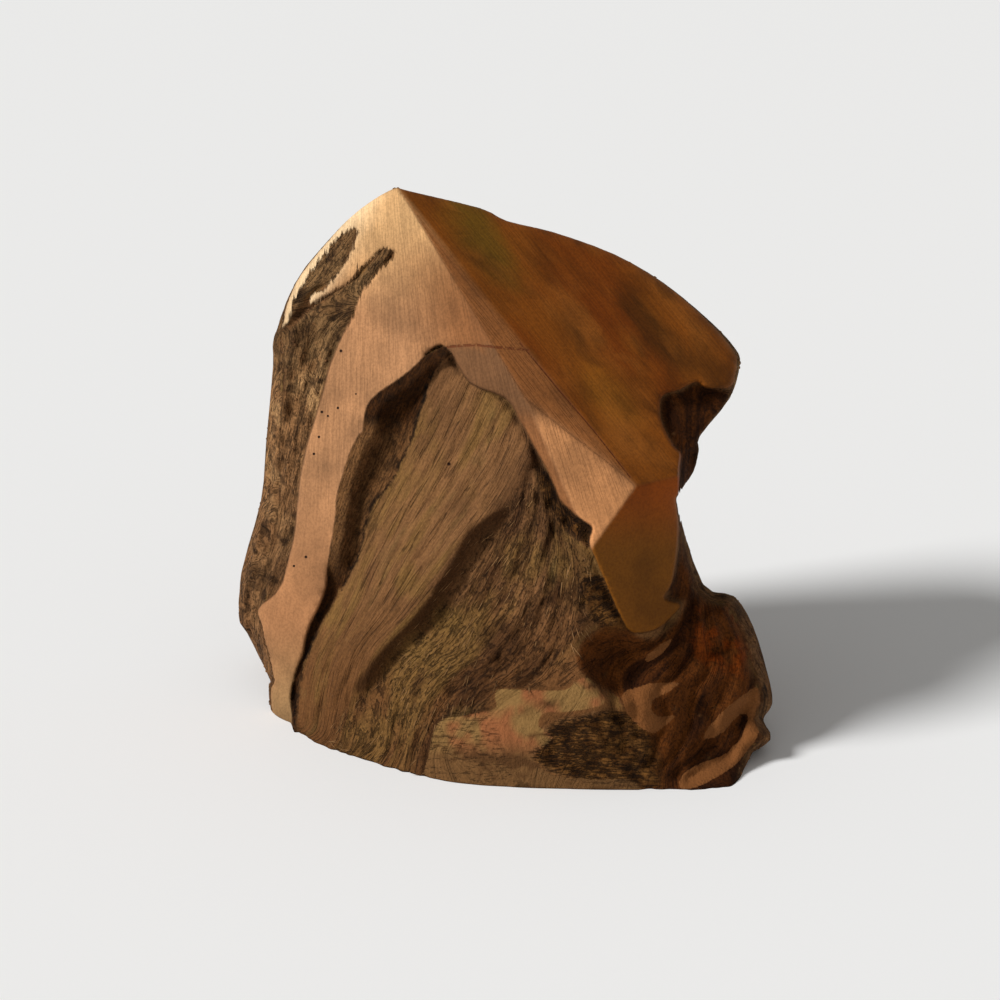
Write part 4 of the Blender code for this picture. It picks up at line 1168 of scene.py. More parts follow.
@dataclass(frozen=True)
class WeatheredGrain:
    """Weathered wood along the grain: smooth on the slab, torn beside it."""

    light: Tone = linear(134, 93, 57)
    mid: Tone = linear(104, 70, 42)
    ochre: Tone = linear(130, 96, 50)
    green: Tone = linear(112, 92, 52)
    low: Tone = linear(110, 71, 38)
    deep: Tone = linear(72, 44, 22)
    strip: Tone = linear(138, 104, 60)
    strip_red: Tone = linear(146, 90, 54)
    strip_low: Tone = linear(114, 80, 46)
    patches: tuple[tuple[float, float, float, str], ...] = (
        (5.0, 57.5, 8.0, "ochre"), (0.0, 37.5, 8.0, "deep"), (-20.0, 34.0, 7.0, "ochre"),
        (-7.0, 25.0, 5.0, "deep"), (-12.0, 42.0, 6.0, "ochre"), (14.0, 49.0, 5.0, "deep"),
        (-23.0, 52.0, 6.0, "ochre"),
    )

    def tint(self, spots: Spots) -> Points:
        """The colour at each point.

        Args:
            spots: the points.

        Returns:
            Rows of colours.
        """
        up, kinds = spots.up, spots.kinds
        drawn_out = spots.grown * np.array([1.0, 0.22, 1.0])
        colour = spots.coat(self.light)
        colour = laid_over(colour, self.mid, smooth_step(cloud(drawn_out, 6.0, 91), -0.3, 0.5))
        colour = laid_over(colour, self.low, 0.9 * smooth_step(up, 62.0, 22.0))
        colour = laid_over(colour, self.ochre, 0.7 * smooth_step(cloud(drawn_out, 8.0, 94, 5), 0.1, 0.7))
        colour = laid_over(colour, self.green, 0.5 * smooth_step(cloud(drawn_out, 5.0, 96, 5), 0.3, 0.9))
        # Painted shadow cast by the slab's lip into the crease
        colour = laid_over(colour, self.deep, 0.9 * kinds["crease"])
        edges = 3 * cloud(drawn_out, 4.0, 98, 4)
        for x, y, reach, tone in self.patches:
            away = np.hypot(spots.across - x, up - y) + edges
            colour = laid_over(colour, getattr(self, tone), 0.7 * smooth_step(away, reach, 0.4 * reach))
        torn = smooth_step(cloud(drawn_out, 3.0, 97, 4), -0.1, 0.6) * kinds["rough"]
        return laid_over(colour, self.deep, 0.75 * torn)

    def bared(self, spots: Spots) -> Points:
        """The colour of the wood bared low on the front.

        Args:
            spots: the points.

        Returns:
            Rows of colours.
        """
        reddish = smooth_step(cloud(spots.place(), 8.0, 101), -0.1, 0.5)
        strip = laid_over(spots.coat(self.strip), self.strip_red, reddish)
        strip = laid_over(strip, self.strip_low, smooth_step(spots.up, 14.0, 7.0))
        streaks = spots.place() * np.array([0.16, 1.0, 1.0])
        return laid_over(strip, self.deep, 0.7 * smooth_step(cloud(streaks, 2.0, 103, 5), 0.2, 0.5))


@dataclass(frozen=True)
class RootBark:
    """Crumbling bark: ochre on the left, dark in the pocket, reddish where it coils."""

    light: Tone = linear(194, 148, 98)
    mid: Tone = linear(156, 112, 71)
    high: Tone = linear(112, 82, 50)
    low: Tone = linear(130, 90, 56)
    dark: Tone = linear(66, 44, 25)
    pocket: Tone = linear(74, 42, 15)
    pocket_dark: Tone = linear(46, 26, 8)
    pocket_light: Tone = linear(142, 98, 58)
    coil: Tone = linear(104, 56, 18)
    coil_red: Tone = linear(140, 60, 6)
    coil_dark: Tone = linear(56, 27, 7)
    worn: Tone = linear(128, 80, 42)
    torn: Tone = linear(118, 78, 36)
    torn_dark: Tone = linear(74, 44, 14)
    seam: Tone = linear(22, 13, 6)
    # Painted shade for the hollows of the natural surface
    recess_shade: Tone = linear(50, 29, 14)

    def tint(self, spots: Spots) -> Points:
        """The colour at each point.

        Args:
            spots: the points.

        Returns:
            Rows of colours.
        """
        up, kinds = spots.up, spots.kinds
        colour = spots.coat(self.light)
        colour = laid_over(colour, self.mid, smooth_step(cloud(spots.points, 9.0, 111), -0.4, 0.3))
        colour = laid_over(colour, self.low, 0.8 * smooth_step(up, 110.0, 50.0))
        colour = laid_over(colour, self.high, 0.75 * smooth_step(up, 98.0, 114.0))
        lumps = spots.grown * np.array([1.0, 0.35, 1.0])
        colour = laid_over(colour, self.dark, 0.85 * smooth_step(cloud(spots.points, 2.6, 114, 4), 0.2, 0.6))
        colour = laid_over(colour, self.dark, 0.6 * smooth_step(cloud(lumps, 3.0, 118), 0.2, 0.7))
        darker = smooth_step(cloud(spots.points, 3.0, 121, 4), -0.2, 0.5)
        pocket = laid_over(spots.coat(self.pocket), self.pocket_dark, darker)
        beside = smooth_step(kinds["edge"] + cloud(spots.points, 3.0, 123), -7.0, -3.5)
        beside = beside * smooth_step(up, 94.0, 88.0) * smooth_step(up, 50.0, 62.0)
        pocket = laid_over(pocket, self.pocket_light, 0.85 * beside)
        colour = laid_over(colour, pocket, kinds["pocket"])
        torn = kinds["seam"] + 0.5 * cloud(spots.points, 2.0, 137, 4)
        colour = laid_over(colour, self.seam, 0.9 * smooth_step(torn, 0.4, 0.8) * (1 - kinds["left"]))
        bands = spots.grown * np.array([1.0, 0.10, 1.0])
        darker = smooth_step(cloud(bands, 2.6, 128, 4), -0.45, 0.45)
        coil = laid_over(spots.coat(self.coil), self.coil_dark, darker)
        reddish = smooth_step(spots.across, 44.0, 54.0) * smooth_step(up, 24.0, 34.0)
        reddish = reddish * smooth_step(up, 60.0, 52.0)
        reddish = reddish * smooth_step(cloud(spots.points, 3.6, 125, 4), -0.2, 0.5)
        coil = laid_over(coil, self.coil_red, 0.75 * reddish)
        colour = laid_over(colour, coil, kinds["coil"])
        darker = smooth_step(cloud(spots.points, 2.4, 133, 5), -0.4, 0.3)
        torn = laid_over(spots.coat(self.torn), self.torn_dark, darker)
        return laid_over(colour, torn, kinds["tattered"])


class Network:
    """Adds nodes to a tree."""

    def __init__(self, tree: bpy.types.NodeTree) -> None:
        """Takes the tree."""
        self.tree = tree

    def feed(self, socket: Socket, value: object) -> None:
        """Links a socket, or sets its value.

        Args:
            socket: the input.
            value: an output socket, a number, a colour, a text or a material.
        """
        if isinstance(value, Socket):
            self.tree.links.new(value, socket)
        else:
            socket.default_value = value

    def node(
        self, kind: str, inputs: dict[str | int, object] | None = None, **settings: object
    ) -> bpy.types.Node:
        """A new node.

        Args:
            kind: its type.
            inputs: what each input takes, by the input's name or number.
            **settings: its settings.

        Returns:
            The node.
        """
        made = self.tree.nodes.new(kind)
        for name, value in settings.items():
            setattr(made, name, value)
        for name, value in (inputs or {}).items():
            self.feed(made.inputs[name], value)
        return made


class Graph(Network):
    """Builds a material's nodes."""

    def __init__(self, name: str) -> None:
        """Starts a material of this name with one Principled BSDF."""
        self.material = bpy.data.materials.new(name)
        self.material.use_nodes = True
        super().__init__(self.material.node_tree)
        self.shader = self.tree.nodes["Principled BSDF"]

    def attribute(self, name: str) -> bpy.types.Node:
        """The node that reads an attribute of the mesh."""
        return self.node("ShaderNodeAttribute", attribute_type="GEOMETRY", attribute_name=name)

    def number(self, name: str) -> Socket:
        """An attribute of one number."""
        return self.attribute(name).outputs["Fac"]

    def vector(self, name: str) -> Socket:
        """An attribute of three numbers."""
        return self.attribute(name).outputs["Vector"]

    def part(self, vector: Socket, axis: str) -> Socket:
        """One part of a vector: X, Y or Z."""
        return self.node("ShaderNodeSeparateXYZ", {0: vector}).outputs[axis]

    def scaled(self, vector: Socket, by: tuple[float, float, float]) -> Socket:
        """A vector times another."""
        return self.node("ShaderNodeVectorMath", {0: vector, 1: by}, operation="MULTIPLY").outputs[0]

    def vectors(self, operation: str, a: Socket, b: object, output: str = "Vector") -> Socket:
        """Arithmetic with two vectors; output names the result, which is a number for some operations."""
        return self.node("ShaderNodeVectorMath", {0: a, 1: b}, operation=operation).outputs[output]

    def noise(
        self, vector: Socket, scale: float = 1.0, detail: float = 3.0, rough: float = 0.55, warp: float = 0.0
    ) -> Socket:
        """Noise from about 0 to 1, with detail as its finer layers and rough as their strength."""
        inputs = {"Vector": vector, "Scale": scale, "Detail": detail, "Roughness": rough, "Distortion": warp}
        return self.node("ShaderNodeTexNoise", inputs).outputs[0]

    def sums(self, operation: str, a: object, b: object = 0.0, clamp: bool = False) -> Socket:
        """Arithmetic with two numbers, kept from 0 to 1 if clamp is set."""
        return self.node("ShaderNodeMath", {0: a, 1: b}, operation=operation, use_clamp=clamp).outputs[0]

    def step(
        self, value: Socket, low: float, high: float, out_low: float = 0.0, out_high: float = 1.0
    ) -> Socket:
        """A soft step from out_low to out_high between low and high."""
        inputs = {"Value": value, "From Min": low, "From Max": high, "To Min": out_low, "To Max": out_high}
        return self.node("ShaderNodeMapRange", inputs, interpolation_type="SMOOTHSTEP").outputs["Result"]

    def mix(self, share: object, a: object, b: object) -> Socket:
        """Colours mixed: a share of 0 gives a, and 1 gives b."""
        return self.node("ShaderNodeMix", {0: share, 6: a, 7: b}, data_type="RGBA").outputs[2]

    def blend(self, share: object, a: object, b: object) -> Socket:
        """Numbers mixed: a share of 0 gives a, and 1 gives b."""
        return self.node("ShaderNodeMix", {0: share, 2: a, 3: b}, data_type="FLOAT").outputs[0]


@dataclass(frozen=True)
class DrawnMark:
    """A fine line scored or cracked into a sawn face.

    Attributes:
        line: its points on the sheet.
        radius: half its width, in millimetres.
        broken: how much of it is missing, 0 to 1.
    """

    line: Line
    radius: float
    broken: float

    def share(self, graph: Graph) -> Socket:
        """1 on the line and 0 away from it."""
        flat = graph.scaled(graph.vector("place"), (1.0, 1.0, 0.0))
        nearest: Socket | None = None
        for start, end in zip(self.line[:-1], self.line[1:]):
            run = np.array((end[0] - start[0], end[1] - start[1], 0.0))
            from_start = graph.vectors("SUBTRACT", flat, (start[0], start[1], 0.0))
            along = graph.vectors("DOT_PRODUCT", from_start, tuple(run / (run @ run)), "Value")
            along = graph.sums("ADD", along, 0.0, True)
            spoke = graph.node("ShaderNodeVectorMath", {0: tuple(run), "Scale": along}, operation="SCALE")
            away = graph.vectors("DISTANCE", from_start, spoke.outputs[0], "Value")
            nearest = away if nearest is None else graph.sums("MINIMUM", nearest, away)
        there = graph.step(nearest, self.radius, self.radius * 0.4)
        gaps = graph.step(graph.noise(flat, 0.9, 3.0, 0.7), self.broken, self.broken + 0.12)
        return graph.sums("MULTIPLY", there, gaps)


CRACK = DrawnMark(((-13.0, 110.8), (-6.0, 111.3), (0.0, 110.6), (7.0, 110.1)), 0.46, 0.40)
SCORE = DrawnMark(((5.0, 111.8), (13.75, 101.25), (23.75, 89.5), (32.6, 78.2)), 0.20, 0.36)


@dataclass(frozen=True)
class HeatherWood:
    """The finish of the whole root: the colours stored on its points, under lines, tatters and crumbs."""

    sawn: SawnWood = SawnWood()
    grain: WeatheredGrain = WeatheredGrain()
    bark: RootBark = RootBark()
    marks: tuple[DrawnMark, ...] = (CRACK, SCORE)
    fan_from: Span = (-35.0, 257.0)
    fan_width: float = 150.0
    score_pitch: float = 0.52
    score_stretch: float = 0.08
    score_height: float = 0.07
    fibre_height: float = 0.24
    tatter_height: float = 1.3
    crumb_height: float = 0.45
    crack_height: float = 0.7
    hole_depth: float = 0.5
    mark_depth: float = 0.15
    sawn_crumb_height: float = 0.08
    bump_strength: float = 0.9
    hole: Tone = linear(40, 22, 12)
    mark: Tone = linear(96, 46, 22)
    finger_length: float = 2.0

    def tints(self, spots: Spots) -> tuple[Points, Points, Points]:
        """The colours of the sawn, the natural and the bared surface at each point.

        Args:
            spots: the points.

        Returns:
            Three sets of colours.
        """
        kinds = spots.kinds
        ragged = 0.5 * cloud(spots.points, 2.2, 131, 4)
        bark = smooth_step(kinds["bark"] + ragged, 0.35, 0.65)
        natural = laid_over(self.grain.tint(spots), self.bark.tint(spots), bark)
        kept = 1 - np.maximum(np.maximum(kinds["left"], kinds["pocket"]), 0.6 * kinds["coil"])
        # Painted shade: the natural surface darker where it lies in a hollow
        natural = laid_over(natural, self.bark.recess_shade, 0.65 * kept * smooth_step(kinds["hollow"], 0.1, 1.0))
        worn = (kinds["worn"] > kinds["strip"]).astype(float)
        bared = laid_over(self.grain.bared(spots), self.bark.worn, worn)
        return self.sawn.tint(spots), natural, bared

    def details(self, spots: Spots) -> Points:
        """How strong the lines, the tatters and the crumbs are at each point.

        Args:
            spots: the points.

        Returns:
            Rows of three shares.
        """
        kinds = spots.kinds
        bark, rough, plain = kinds["bark"], kinds["rough"], np.maximum(kinds["worn"], 0.6 * kinds["strip"])
        lines = 0.58 - 0.2 * bark - 0.05 * rough - 0.35 * plain - 0.3 * kinds["crease"]
        tatters = 0.06 + 0.6 * rough * (1 - bark) * (1 - kinds["crease"])
        tatters += bark * (0.6 - 0.3 * kinds["coil"] - 0.1 * kinds["pocket"] + 0.4 * kinds["tattered"])
        crumbs = 0.42 + 0.2 * rough + 0.35 * bark
        return np.stack((lines, tatters * (1 - 0.85 * plain), crumbs * (1 - 0.7 * plain)), 1)

    def lines(self, graph: Graph, sawn: Socket) -> tuple[Socket, Socket]:
        """Saw lines on the sawn faces and fibres on the rest, with the saw lines' strength.

        Args:
            graph: the material's graph.
            sawn: where the sawn faces are.

        Returns:
            Noise along the lines, and the strength on the sawn faces.
        """
        place, face = graph.vector("place"), graph.vector("face")
        across, up = graph.part(place, "X"), graph.part(place, "Y")
        from_left = graph.sums("SUBTRACT", across, self.fan_from[0])
        below = graph.sums("SUBTRACT", self.fan_from[1], up)
        (run, rise), pitch, stretch = SAW_RUN, self.score_pitch, self.score_stretch
        fan = graph.sums("MULTIPLY", graph.sums("ARCTAN2", from_left, below), self.fan_width / pitch)
        fanned = graph.node("ShaderNodeCombineXYZ", {"X": fan, "Y": graph.sums("MULTIPLY", up, stretch)})
        side = graph.vectors("DOT_PRODUCT", place, (-rise / pitch, run / pitch, 0), "Value")
        along = graph.vectors("DOT_PRODUCT", place, (run * stretch, rise * stretch, 0), "Value")
        ruled = graph.node("ShaderNodeCombineXYZ", {"X": side, "Y": along})
        right = graph.vectors("DOT_PRODUCT", face, (1.0, 1.0, 1.0), "Value")
        scored = graph.mix(graph.step(right, 0.4, 0.6), fanned.outputs[0], ruled.outputs[0])
        grown = graph.scaled(graph.vector("pattern"), (3.6, 0.14, 1.0))
        front = graph.step(graph.part(place, "Z"), 0.4, 0.6)
        where = graph.mix(graph.sums("MULTIPLY", sawn, front), grown, scored)
        plain = graph.step(up, 50.0, 92.0, 0.35, 1.0)
        plain = graph.sums("MULTIPLY", plain, graph.step(graph.part(face, "X"), 0.0, 1.0, 1.0, 0.6))
        plain = graph.sums("MULTIPLY", plain, graph.step(graph.part(face, "Y"), 0.0, 1.0, 1.0, 0.2))
        return graph.noise(where, 1.0, 3.0, 0.62, 0.1), plain

    def sawn_share(self, graph: Graph) -> Socket:
        """Where the sawn faces are, with a fringe of torn fingers along the upper bark."""
        place = graph.vector("place")
        fingers = graph.noise(graph.scaled(place, (1.5, 0.25, 1.0)), 1.0, 3.0, 0.65)
        fingers = graph.sums("SUBTRACT", fingers, 0.5)
        high = graph.step(graph.part(place, "Y"), 112.0, 122.0, 0.5, self.finger_length * 2)
        high = graph.blend(graph.step(graph.part(place, "X"), -26.0, -18.0), high, 0.5)
        edge = graph.sums("ADD", graph.number("edge"), graph.sums("MULTIPLY", fingers, high))
        return graph.step(edge, -0.26, 0.26)

    def marked(self, graph: Graph) -> Socket:
        """1 in the beetles' holes."""
        place = graph.vector("place")
        flat = graph.scaled(place, (1.0, 1.0, 0.0))
        holes: Socket | None = None
        for across, up, radius in PIN_HOLES:
            away = graph.vectors("DISTANCE", flat, (across, up, 0.0), "Value")
            hole = graph.step(away, radius, radius * 0.6)
            holes = hole if holes is None else graph.sums("MAXIMUM", holes, hole)
        return graph.sums("MULTIPLY", holes, graph.part(place, "Z"))

    def make(self) -> bpy.types.Material:
        """Builds the material.

        Returns:
            The material.
        """
        graph = Graph("heather_wood")
        sawn = self.sawn_share(graph)
        lines, plain = self.lines(graph, sawn)
        detail = graph.vector("detail")
        of_lines, of_tatters, of_crumbs = (graph.part(detail, axis) for axis in "XYZ")
        grown = graph.vector("pattern")
        along = graph.scaled(grown, (1.5, 0.30, 1.0))
        level = graph.scaled(graph.vector("place"), (0.28, 1.5, 0.0))
        tatters = graph.noise(graph.mix(graph.number("level"), along, level), 1.0, 4.0, 0.68, 1.1)
        crumbs = graph.noise(graph.node("ShaderNodeTexCoord").outputs["Object"], 1500.0, 2.0, 0.6)
        cracks = graph.noise(graph.scaled(grown, (0.40, 0.016, 1.0)), 1.0, 2.0, 0.5, 0.2)
        cracks = graph.step(graph.sums("ABSOLUTE", graph.sums("SUBTRACT", cracks, 0.5)), 0.013, 0.002)
        cracks = graph.sums("MULTIPLY", cracks, graph.step(lines, 0.38, 0.54))
        bare = graph.sums("ADD", graph.number("bare"), graph.sums("SUBTRACT", 0.5, tatters))
        bare = graph.step(bare, 0.44, 0.54)
        colour = graph.mix(bare, graph.vector("natural_tint"), graph.vector("bare_tint"))
        colour = graph.mix(sawn, colour, graph.vector("sawn_tint"))
        marked, place = self.marked(graph), graph.vector("place")
        fine: Socket | None = None
        for mark in self.marks:
            share = graph.sums("MULTIPLY", sawn, graph.part(place, "Z"))
            share = graph.sums("MULTIPLY", mark.share(graph), share)
            fine = share if fine is None else graph.sums("MAXIMUM", fine, share)
        natural = graph.sums("SUBTRACT", 1.0, sawn)
        scores = graph.sums("MULTIPLY", graph.step(lines, 0.46, 0.60), plain)
        fibres = graph.sums("MULTIPLY", graph.step(lines, 0.44, 0.64), of_lines)
        darker = graph.sums("MULTIPLY", graph.blend(sawn, fibres, scores), graph.blend(sawn, 0.42, 0.17))
        deeper = graph.sums("ADD", tatters, graph.sums("MULTIPLY", of_tatters, 0.13))
        torn = graph.sums("MULTIPLY", of_tatters, natural)
        torn = graph.sums("MULTIPLY", graph.step(deeper, 0.60, 0.70), torn)
        grit = graph.sums("MULTIPLY", graph.step(crumbs, 0.38, 0.66), graph.blend(sawn, of_crumbs, 0.34))
        shade = graph.sums("MULTIPLY", graph.sums("SUBTRACT", 1.0, darker), graph.blend(torn, 1.0, 0.36))
        shade = graph.sums("MULTIPLY", shade, graph.blend(grit, 1.0, 0.45))
        cracked = graph.sums("MULTIPLY", cracks, graph.sums("MULTIPLY", natural, of_lines))
        shade = graph.sums("MULTIPLY", shade, graph.blend(cracked, 1.0, 0.42))
        toned = graph.node("ShaderNodeVectorMath", {0: colour, "Scale": shade}, operation="SCALE")
        colour = graph.mix(graph.sums("MULTIPLY", fine, 0.8), toned.outputs[0], self.mark)
        colour = graph.mix(marked, colour, self.hole)
        graph.feed(graph.shader.inputs["Base Color"], colour)
        self.relief(graph, sawn, (scores, fibres, torn, crumbs, cracked, marked), fine)
        satin = graph.blend(graph.number("roofed"), 0.70, 0.60)
        graph.feed(graph.shader.inputs["Roughness"], graph.blend(sawn, 0.92, satin))
        graph.shader.inputs["Specular IOR Level"].default_value = 0.1
        return graph.material

    def relief(self, graph: Graph, sawn: Socket, parts: tuple[Socket, ...], fine: Socket) -> None:
        """Adds the bump.

        Args:
            graph: the material's graph.
            sawn: where the sawn faces are.
            parts: score lines, fibres, tatters, crumbs, cracks and holes.
            fine: the drawn marks.
        """
        scores, fibres, torn, crumbs, cracked, marked = parts
        cut = graph.sums("MULTIPLY", scores, -self.score_height)
        rest = graph.sums("MULTIPLY", fibres, -self.fibre_height)
        height = graph.blend(sawn, rest, cut)
        crumb = graph.blend(sawn, -self.crumb_height, -self.sawn_crumb_height)
        height = graph.sums("ADD", height, graph.sums("MULTIPLY", crumbs, crumb))
        for part, depth in (
            (torn, self.tatter_height), (cracked, self.crack_height), (marked, self.hole_depth),
            (fine, self.mark_depth),
        ):
            height = graph.sums("ADD", height, graph.sums("MULTIPLY", part, -depth))
        bump = graph.node(
            "ShaderNodeBump", {"Strength": self.bump_strength, "Distance": MM, "Height": height}
        )
        graph.feed(graph.shader.inputs["Normal"], bump.outputs["Normal"])


def coordinates(mesh: bpy.types.Mesh) -> Points:
    """The mesh's points as rows of three."""
    flat = np.empty(len(mesh.vertices) * 3)
    mesh.vertices.foreach_get("co", flat)
    return flat.reshape(-1, 3)


def keep_inside(mesh: bpy.types.Mesh, inset: float = 0.0) -> None:
    """Holds every point inside the CAD's box.

    Args:
        mesh: the mesh, changed in place.
        inset: how far inside the box's sides and top, in millimetres.
    """
    low, high = (np.array(corner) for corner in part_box(NODE))
    low = low + np.array([inset, inset, 0.0]) * MM
    points = np.clip(coordinates(mesh), low, high - inset * MM)
    mesh.vertices.foreach_set("co", points.ravel())
    mesh.update()


@dataclass
class RootBody:
    """The root's dressed body: a fine mesh of the form, with the kinds of surface stored on its points.

    Attributes:
        form: the form.
        faces: triangles that the mesh is brought down to.
        inset_from_box: how far the body keeps inside the CAD's box, in millimetres.
    """

    form: RootForm
    net: SurfaceNet
    faces: int = 192000
    inset_from_box: float = 0.02
    base_reach: float = 0.05
    side_width: float = 60.0
    growth_reach: float = 0.6

    def build(self, wood: HeatherWood) -> bpy.types.Object:
        """Makes the body.

        Args:
            wood: its finish.

        Returns:
            The object, with its attributes.
        """
        points, quads = self.net.wrap()
        points = self.net.settle(points) - MIDDLE
        LOG.info("surface wrapped: %d cells", len(quads))
        mesh = bpy.data.meshes.new("fine_root")
        mesh.from_pydata(points * MM, [], quads)
        self.mend(mesh)
        mesh = self.lighten(mesh)
        self.saw_base(mesh)
        keep_inside(mesh, self.inset_from_box)
        self.dress(mesh, wood)
        mesh.materials.append(wood.make())
        mesh.shade_smooth()
        body = bpy.data.objects.new("heather_root_body", mesh)
        bpy.context.scene.collection.objects.link(body)
        return body

    def mend(self, mesh: bpy.types.Mesh) -> None:
        """Closes the few short edges where four faces meet.

        Args:
            mesh: the mesh, changed in place.
        """
        shape = bmesh.new()
        shape.from_mesh(mesh)
        for _ in range(6):
            pinched = [edge for edge in shape.edges if len(edge.link_faces) > 2]
            if not pinched:
                break
            bmesh.ops.collapse(shape, edges=pinched)
            bmesh.ops.dissolve_degenerate(shape, dist=self.net.cell * MM * 0.02, edges=shape.edges[:])
        shape.to_mesh(mesh)
        shape.free()

    def lighten(self, mesh: bpy.types.Mesh) -> bpy.types.Mesh:
        """The same form with fewer faces.

        Args:
            mesh: the dense mesh.

        Returns:
            A new mesh.
        """
        dense = bpy.data.objects.new("dense_root", mesh)
        bpy.context.scene.collection.objects.link(dense)
        fewer = dense.modifiers.new("fewer_faces", "DECIMATE")
        fewer.ratio = min(1.0, self.faces / (2 * len(mesh.polygons)))
        graph = bpy.context.evaluated_depsgraph_get()
        light = bpy.data.meshes.new_from_object(dense.evaluated_get(graph))
        bpy.data.objects.remove(dense)
        return light

    def saw_base(self, mesh: bpy.types.Mesh) -> None:
        """Cuts the body flat at the floor and keeps its largest part.

        Args:
            mesh: the mesh, changed in place.
        """
        shape = bmesh.new()
        shape.from_mesh(mesh)
        everything = shape.verts[:] + shape.edges[:] + shape.faces[:]
        cut = bmesh.ops.bisect_plane(
            shape, geom=everything, dist=1e-7, plane_co=(0, 0, 0), plane_no=(0, 0, -1), clear_outer=True
        )
        rim_highlight = [edge for edge in cut["geom_cut"] if isinstance(edge, bmesh.types.BMEdge)]
        made = bmesh.ops.contextual_create(shape, geom=rim_highlight)
        for vertex in {corner for edge in rim_highlight for corner in edge.verts}:
            vertex.co.z = 0.0
        bmesh.ops.triangulate(shape, faces=made["faces"])
        left, bodies = set(shape.verts), []
        while left:
            body, edge = set(), {left.pop()}
            while edge:
                body |= edge
                edge = {link.other_vert(vertex) for vertex in edge for link in vertex.link_edges} - body
            left -= body
            bodies.append(body)
        for body in sorted(bodies, key=len)[:-1]:
            bmesh.ops.delete(shape, geom=list(body), context="VERTS")
        bmesh.ops.recalc_face_normals(shape, faces=shape.faces[:])
        shape.to_mesh(mesh)
        shape.free()

    @staticmethod
    def store(mesh: bpy.types.Mesh, name: str, values: Grid) -> None:
        """Stores a number or three on every point.

        Args:
            mesh: the mesh.
            name: the attribute's name.
            values: one row for each point.
        """
        kind, slot = ("FLOAT", "value") if values.ndim == 1 else ("FLOAT_VECTOR", "vector")
        attribute = mesh.attributes.new(name, kind, "POINT")
        attribute.data.foreach_set(slot, np.ascontiguousarray(values, dtype=np.float32).ravel())

    def read_spots(self, mesh: bpy.types.Mesh) -> Spots:
        """Reads from the maps what kind of surface each point has.

        Args:
            mesh: the mesh.

        Returns:
            The points' kinds.
        """
        form, sheet = self.form, self.form.sheet
        points = coordinates(mesh) / MM + MIDDLE
        across, up, deep = form.on_sheet(points)
        behind = deep - form.front(across, up)
        front = 1 - smooth_step(behind, 1.0, 4.0)
        edge = sheet.read(form.sawn, across, up)
        cut = smooth_step(edge, -0.5, 0.5) * front
        base_cut = (points[:, 2] < self.base_reach).astype(float)
        sides_cut = np.maximum(base_cut, smooth_step(form.back_cut(points), -0.7, -0.3))
        planes = [first + second * across + third * up for first, second, third in SAWN_PLANES]
        kinds = {"front": front, "sides_cut": sides_cut, "sawn": np.maximum(cut, sides_cut)}
        for name, k in (("roof", 1), ("tongue", 2), ("shade", 3), ("shoulder", 4)):
            others = np.max([plane for j, plane in enumerate(planes) if j != k], axis=0)
            kinds[name] = smooth_step(planes[k] - others, -0.5, 0.5) * front
        for name, share in form.kinds.items():
            kinds[name] = sheet.read(share, across, up) * front
        kinds["bark"] = np.maximum(kinds["bark"], 1 - front)
        # How deep a point lies in a hollow; the natural colour takes painted shade from this
        kinds["hollow"] = smooth_step(sheet.read(form.hollow, across, up), 0.6, 2.6) * front * (1 - cut)
        kinds["edge"] = np.where(front > 0.5, np.clip(edge, -5, 5), np.where(sides_cut > 0.5, 5.0, -5.0))
        return Spots(points, across, up, self.grown(points, across, up, front, sides_cut), kinds)

    def dress(self, mesh: bpy.types.Mesh, wood: HeatherWood) -> None:
        """Stores the colours and the run of the fibres on the points.

        Args:
            mesh: the mesh.
            wood: the finish.
        """
        spots = self.read_spots(mesh)
        kinds = spots.kinds
        for name, tint in zip(("sawn_tint", "natural_tint", "bare_tint"), wood.tints(spots)):
            self.store(mesh, name, tint)
        self.store(mesh, "bare", np.maximum(kinds["worn"], kinds["strip"]))
        low = kinds["tattered"] * smooth_step(spots.up, 32.0, 28.0)
        self.store(mesh, "level", smooth_step(np.maximum(kinds["strip"], low), 0.0, 0.5))
        self.store(mesh, "detail", wood.details(spots))
        self.store(mesh, "edge", kinds["edge"])
        self.store(mesh, "roofed", kinds["roof"])
        self.store(mesh, "face", np.stack((kinds["roof"], kinds["shade"], kinds["shoulder"]), 1))
        self.store(mesh, "place", np.stack((spots.across, spots.up, kinds["front"]), 1))
        self.store(mesh, "pattern", spots.grown)
        self.store(mesh, "growth", self.growth(spots.across, spots.up))
        bare = (1 - kinds["sawn"]) * (1 - kinds["worn"]) * (1 - kinds["strip"])
        patches = smooth_step(ValueNoise(7.0, 61).at(spots.points), -0.1, 0.6)
        torn = bare * (kinds["front"] > 0.99) * (kinds["rough"] * (1 - kinds["bark"]) + 0.5 * kinds["left"])
        self.store(mesh, "splinter", torn * (0.25 + 0.75 * patches) * smooth_step(spots.up, 112.0, 104.0))
        loose = kinds["bark"] * patches
        loose = loose * (1 - kinds["coil"]) * (1 - kinds["pocket"]) * (1 - kinds["tattered"])
        self.store(mesh, "crumb", bare * loose)

    def grown(self, points: Points, across: Grid, up: Grid, front: Grid, sides_cut: Grid) -> Points:
        """Coordinates across and along the growth, in millimetres.

        Args:
            points: the points in the block.
            across: their places across the sheet.
            up: their places up the sheet.
            front: where the front is.
            sides_cut: where the base and the back are sawn.

        Returns:
            Rows of three, the last of them 0.
        """
        form, sheet = self.form, self.form.sheet
        flow = (form.flow.across, form.flow.along)
        grown = np.stack([sheet.read(values, across, up) for values in flow], 1)
        x, y, z = points.T
        around = np.arctan2(x - form.burl_middle[0], y - form.burl_middle[1]) * self.side_width
        result = np.where(front[:, None] > 0.5, grown, np.stack((around + 200, z), 1))
        result = np.where(sides_cut[:, None] > 0.5, np.stack((x * 0.4 + z * 0.15, z), 1), result)
        return np.column_stack((result, np.zeros(len(result))))

